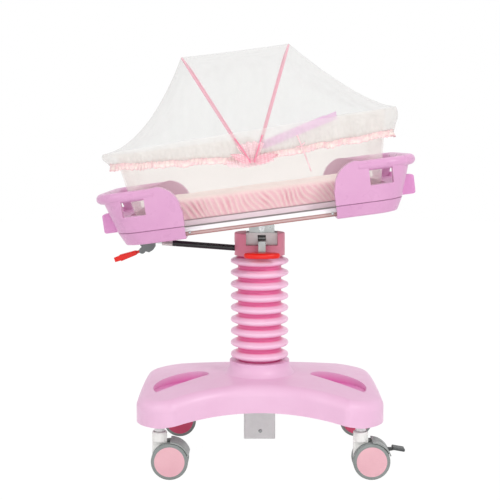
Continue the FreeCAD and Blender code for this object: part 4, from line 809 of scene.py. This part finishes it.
def wingPoint(side):
    # a loop goes out along its front and back along its underside, and has a pointed end
    def place(u, v):
        x0, z0 = bow["knot"]
        reach, lift = bow["leftWing"] if side < 0 else bow["rightWing"]
        out = math.sin(math.pi * u) ** 0.9
        back = -1 if u < 0.5 else 1
        across = v * 2 - 1
        opening = math.sin(math.pi * out ** 0.75)
        reachX = 4 + reach * out
        pleat = math.cos(math.pi * 4 * v + 0.6 * u)
        y = -bow["front"] - 5 + back * (1 + 4.0 * opening) - 1.6 * pleat * out
        rise = lift * out + 4
        z = z0 + rise + across * (1.5 + 12 * opening) * (1 - 0.2 * out) + 1.6 * ripple(reachX, across * 9, side, 9)
        return inTray(x0 + side * reachX, y, z)
    return place


def underFrillPoint(u, v):
    # shows below the loops
    x0, z0 = bow["knot"]
    x = x0 - 66 + 122 * u
    wave = math.sin(math.tau * 11 * u + 2 * ripple(x, 0, 0, 20))
    y = -bow["front"] - 1.5 - 2.0 * wave * (0.3 + v)
    z = z0 - 8 + 16 * v + 8 * (2 * u - 1) ** 2 + 1.5 * wave * (1 - v)
    return inTray(x, y, z)


def knotPoint(u, v):
    angle = math.tau * u
    pinch = 1 - 0.25 * math.sin(math.pi * v)
    x0, z0 = bow["knot"]
    wide, deep, tall = bow["knotSize"]
    crease = 0.5 * math.cos(5 * angle)
    x = x0 + (wide * pinch + crease) * math.cos(angle)
    y = -bow["front"] - 6 - (deep * pinch + crease) * math.sin(angle)
    return inTray(x, y, z0 + 1 + tall * v)


def ribbonPoint(route, width, halfThick=0.7):
    # a closed strip along a few points, level mm; u goes along, v round its flattened section
    def place(u, v):
        steps = len(route) - 1
        at = min(u * steps, steps - 0.001)
        first = int(at)
        before, start, end, after = [Vector(route[max(0, min(steps, first + k))]) for k in (-1, 0, 1, 2)]
        t = at - first
        point = 0.5 * (2 * start + (end - before) * t + (2 * before - 5 * start + 4 * end - after) * t * t
                       + (3 * start - before - 3 * end + after) * t ** 3)
        run = end - start
        side = Vector((run.z, 0, -run.x)).normalized()
        turn = math.tau * v
        return inTray(*(point + side * math.cos(turn) * width / 2 + Vector((0, halfThick * math.sin(turn), 0))))
    return place


# width in mm, material, and the points it runs through in level mm
ribbons = {
    "leftPiping": (3.8, pipingMaterial, [(-6, -240.5, 190), (-16, -240, 212), (-27, -237, 234), (-40, -229.5, 258)]),
    "rightPiping": (3.8, pipingMaterial, [(3, -240.5, 190), (12, -240, 212), (22, -237, 234), (33, -229.5, 258)]),
    "bowTail": (3.6, bowMaterial, [(122, -229, 246), (130, -231, 220), (138, -233, 186), (147, -234, 148)]),
    "bowTailTie": (3.6, bowMaterial, [(116, -233.5, 215), (128, -235, 217), (140, -234.5, 224)])}
areaAllowance = 1.04


def makeBow():
    for name, (width, material, points) in ribbons.items():
        route = [Vector(point) for point in points]
        length = sum((b - a).length for a, b in zip(route, route[1:])) * mm
        shape = mappedGrid(24, 8, ribbonPoint(route, width), (length, 2 * width * mm))
        makePiece(name, shape, material, "net")
    for name, columns, rows, place, size, material in (
            ("bowFan", 72, 16, fanPoint, (0.09, 0.055), bowMaterial),
            ("bowFrill", 90, 10, underFrillPoint, (0.18, 0.02), bowMaterial),
            ("bowLeftLoop", 48, 20, wingPoint(-1), (0.14, 0.03), tipMaterial),
            ("bowRightLoop", 48, 20, wingPoint(1), (0.14, 0.03), tipMaterial),
            ("bowKnot", 36, 8, knotPoint, (0.05, 0.018), tipMaterial)):
        shape = mappedGrid(columns, rows, place, size)
        # cut follows the mesh's own area with a small allowance, so it isn't a measured cut; nothing uses it; the
        # flat size follows the mesh's own area, so it isn't a measured cut and the area check can't fail on it
        cut = math.sqrt(areaAllowance * sum(face.calc_area() for face in shape.faces) / (size[0] * size[1]))
        piece = makePiece(name, shape, material, "net")
        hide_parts("bow")


makeBow()
print("bow made")

studio = {"floorRadius": 9, "floorSteps": 96, "floorShare": 0.96, "floorGlow": 1.03, "ambient": 0.68}


def seenDirectly(tree):
    # 1 where the camera sees it straight, mirrored or through something clear, and 0 for light on other surfaces
    paths = add(tree, "ShaderNodeLightPath").outputs
    seen = arith(tree, "MAXIMUM", paths["Is Camera Ray"], paths["Is Glossy Ray"])
    return arith(tree, "MAXIMUM", seen, paths["Is Transmission Ray"])


floorMaterial, tree = newMaterial("paleStudioFloor")
matt = add(tree, "ShaderNodeBsdfDiffuse", {"Color": linear("#F4F4F4")})
glow = add(tree, "ShaderNodeEmission", {"Color": (1, 1, 1, 1), "Strength": studio["floorGlow"]})
mixedSurface(tree, arith(tree, "MULTIPLY", seenDirectly(tree), studio["floorShare"]), matt, glow)
shape = bmesh.new()
bmesh.ops.create_circle(shape, cap_ends=True, segments=studio["floorSteps"], radius=studio["floorRadius"])
floor = makePiece("studioFloor", shape, floorMaterial, None, smooth=False)

world = bpy.data.worlds.new("studio")
scene.world = world
world.use_nodes = True
tree = world.node_tree
tree.nodes.clear()
strength = spread(tree, seenDirectly(tree), 0, 1, studio["ambient"], 1.0)
sky = add(tree, "ShaderNodeBackground", {"Color": (1, 1, 1, 1), "Strength": strength})
add(tree, "ShaderNodeOutputWorld", {"Surface": sky.outputs[0]})

for name, place, target, size, power in (
        ("keyLight", (1.7, -2.3, 2.4), (0, 0, 0.6), 0.5, 30),
        ("fillLight", (-2.4, -2.0, 2.1), (0, 0, 0.4), 1.6, 18),
        ("lowFill", (0.2, -3.2, 0.25), (0, 0, 0.3), 1.4, 12),
        ("topLight", (0, 0.6, 3.2), (0, 0, 0.6), 2.2, 20)):
    lamp = bpy.data.lights.new(name, "AREA")
    lamp.energy, lamp.size = power, size
    lampObject = bpy.data.objects.new(name, lamp)
    scene.collection.objects.link(lampObject)
    lampObject.location = place
    lampObject.rotation_euler = (Vector(target) - Vector(place)).to_track_quat("-Z", "Y").to_euler()
print("lights placed")
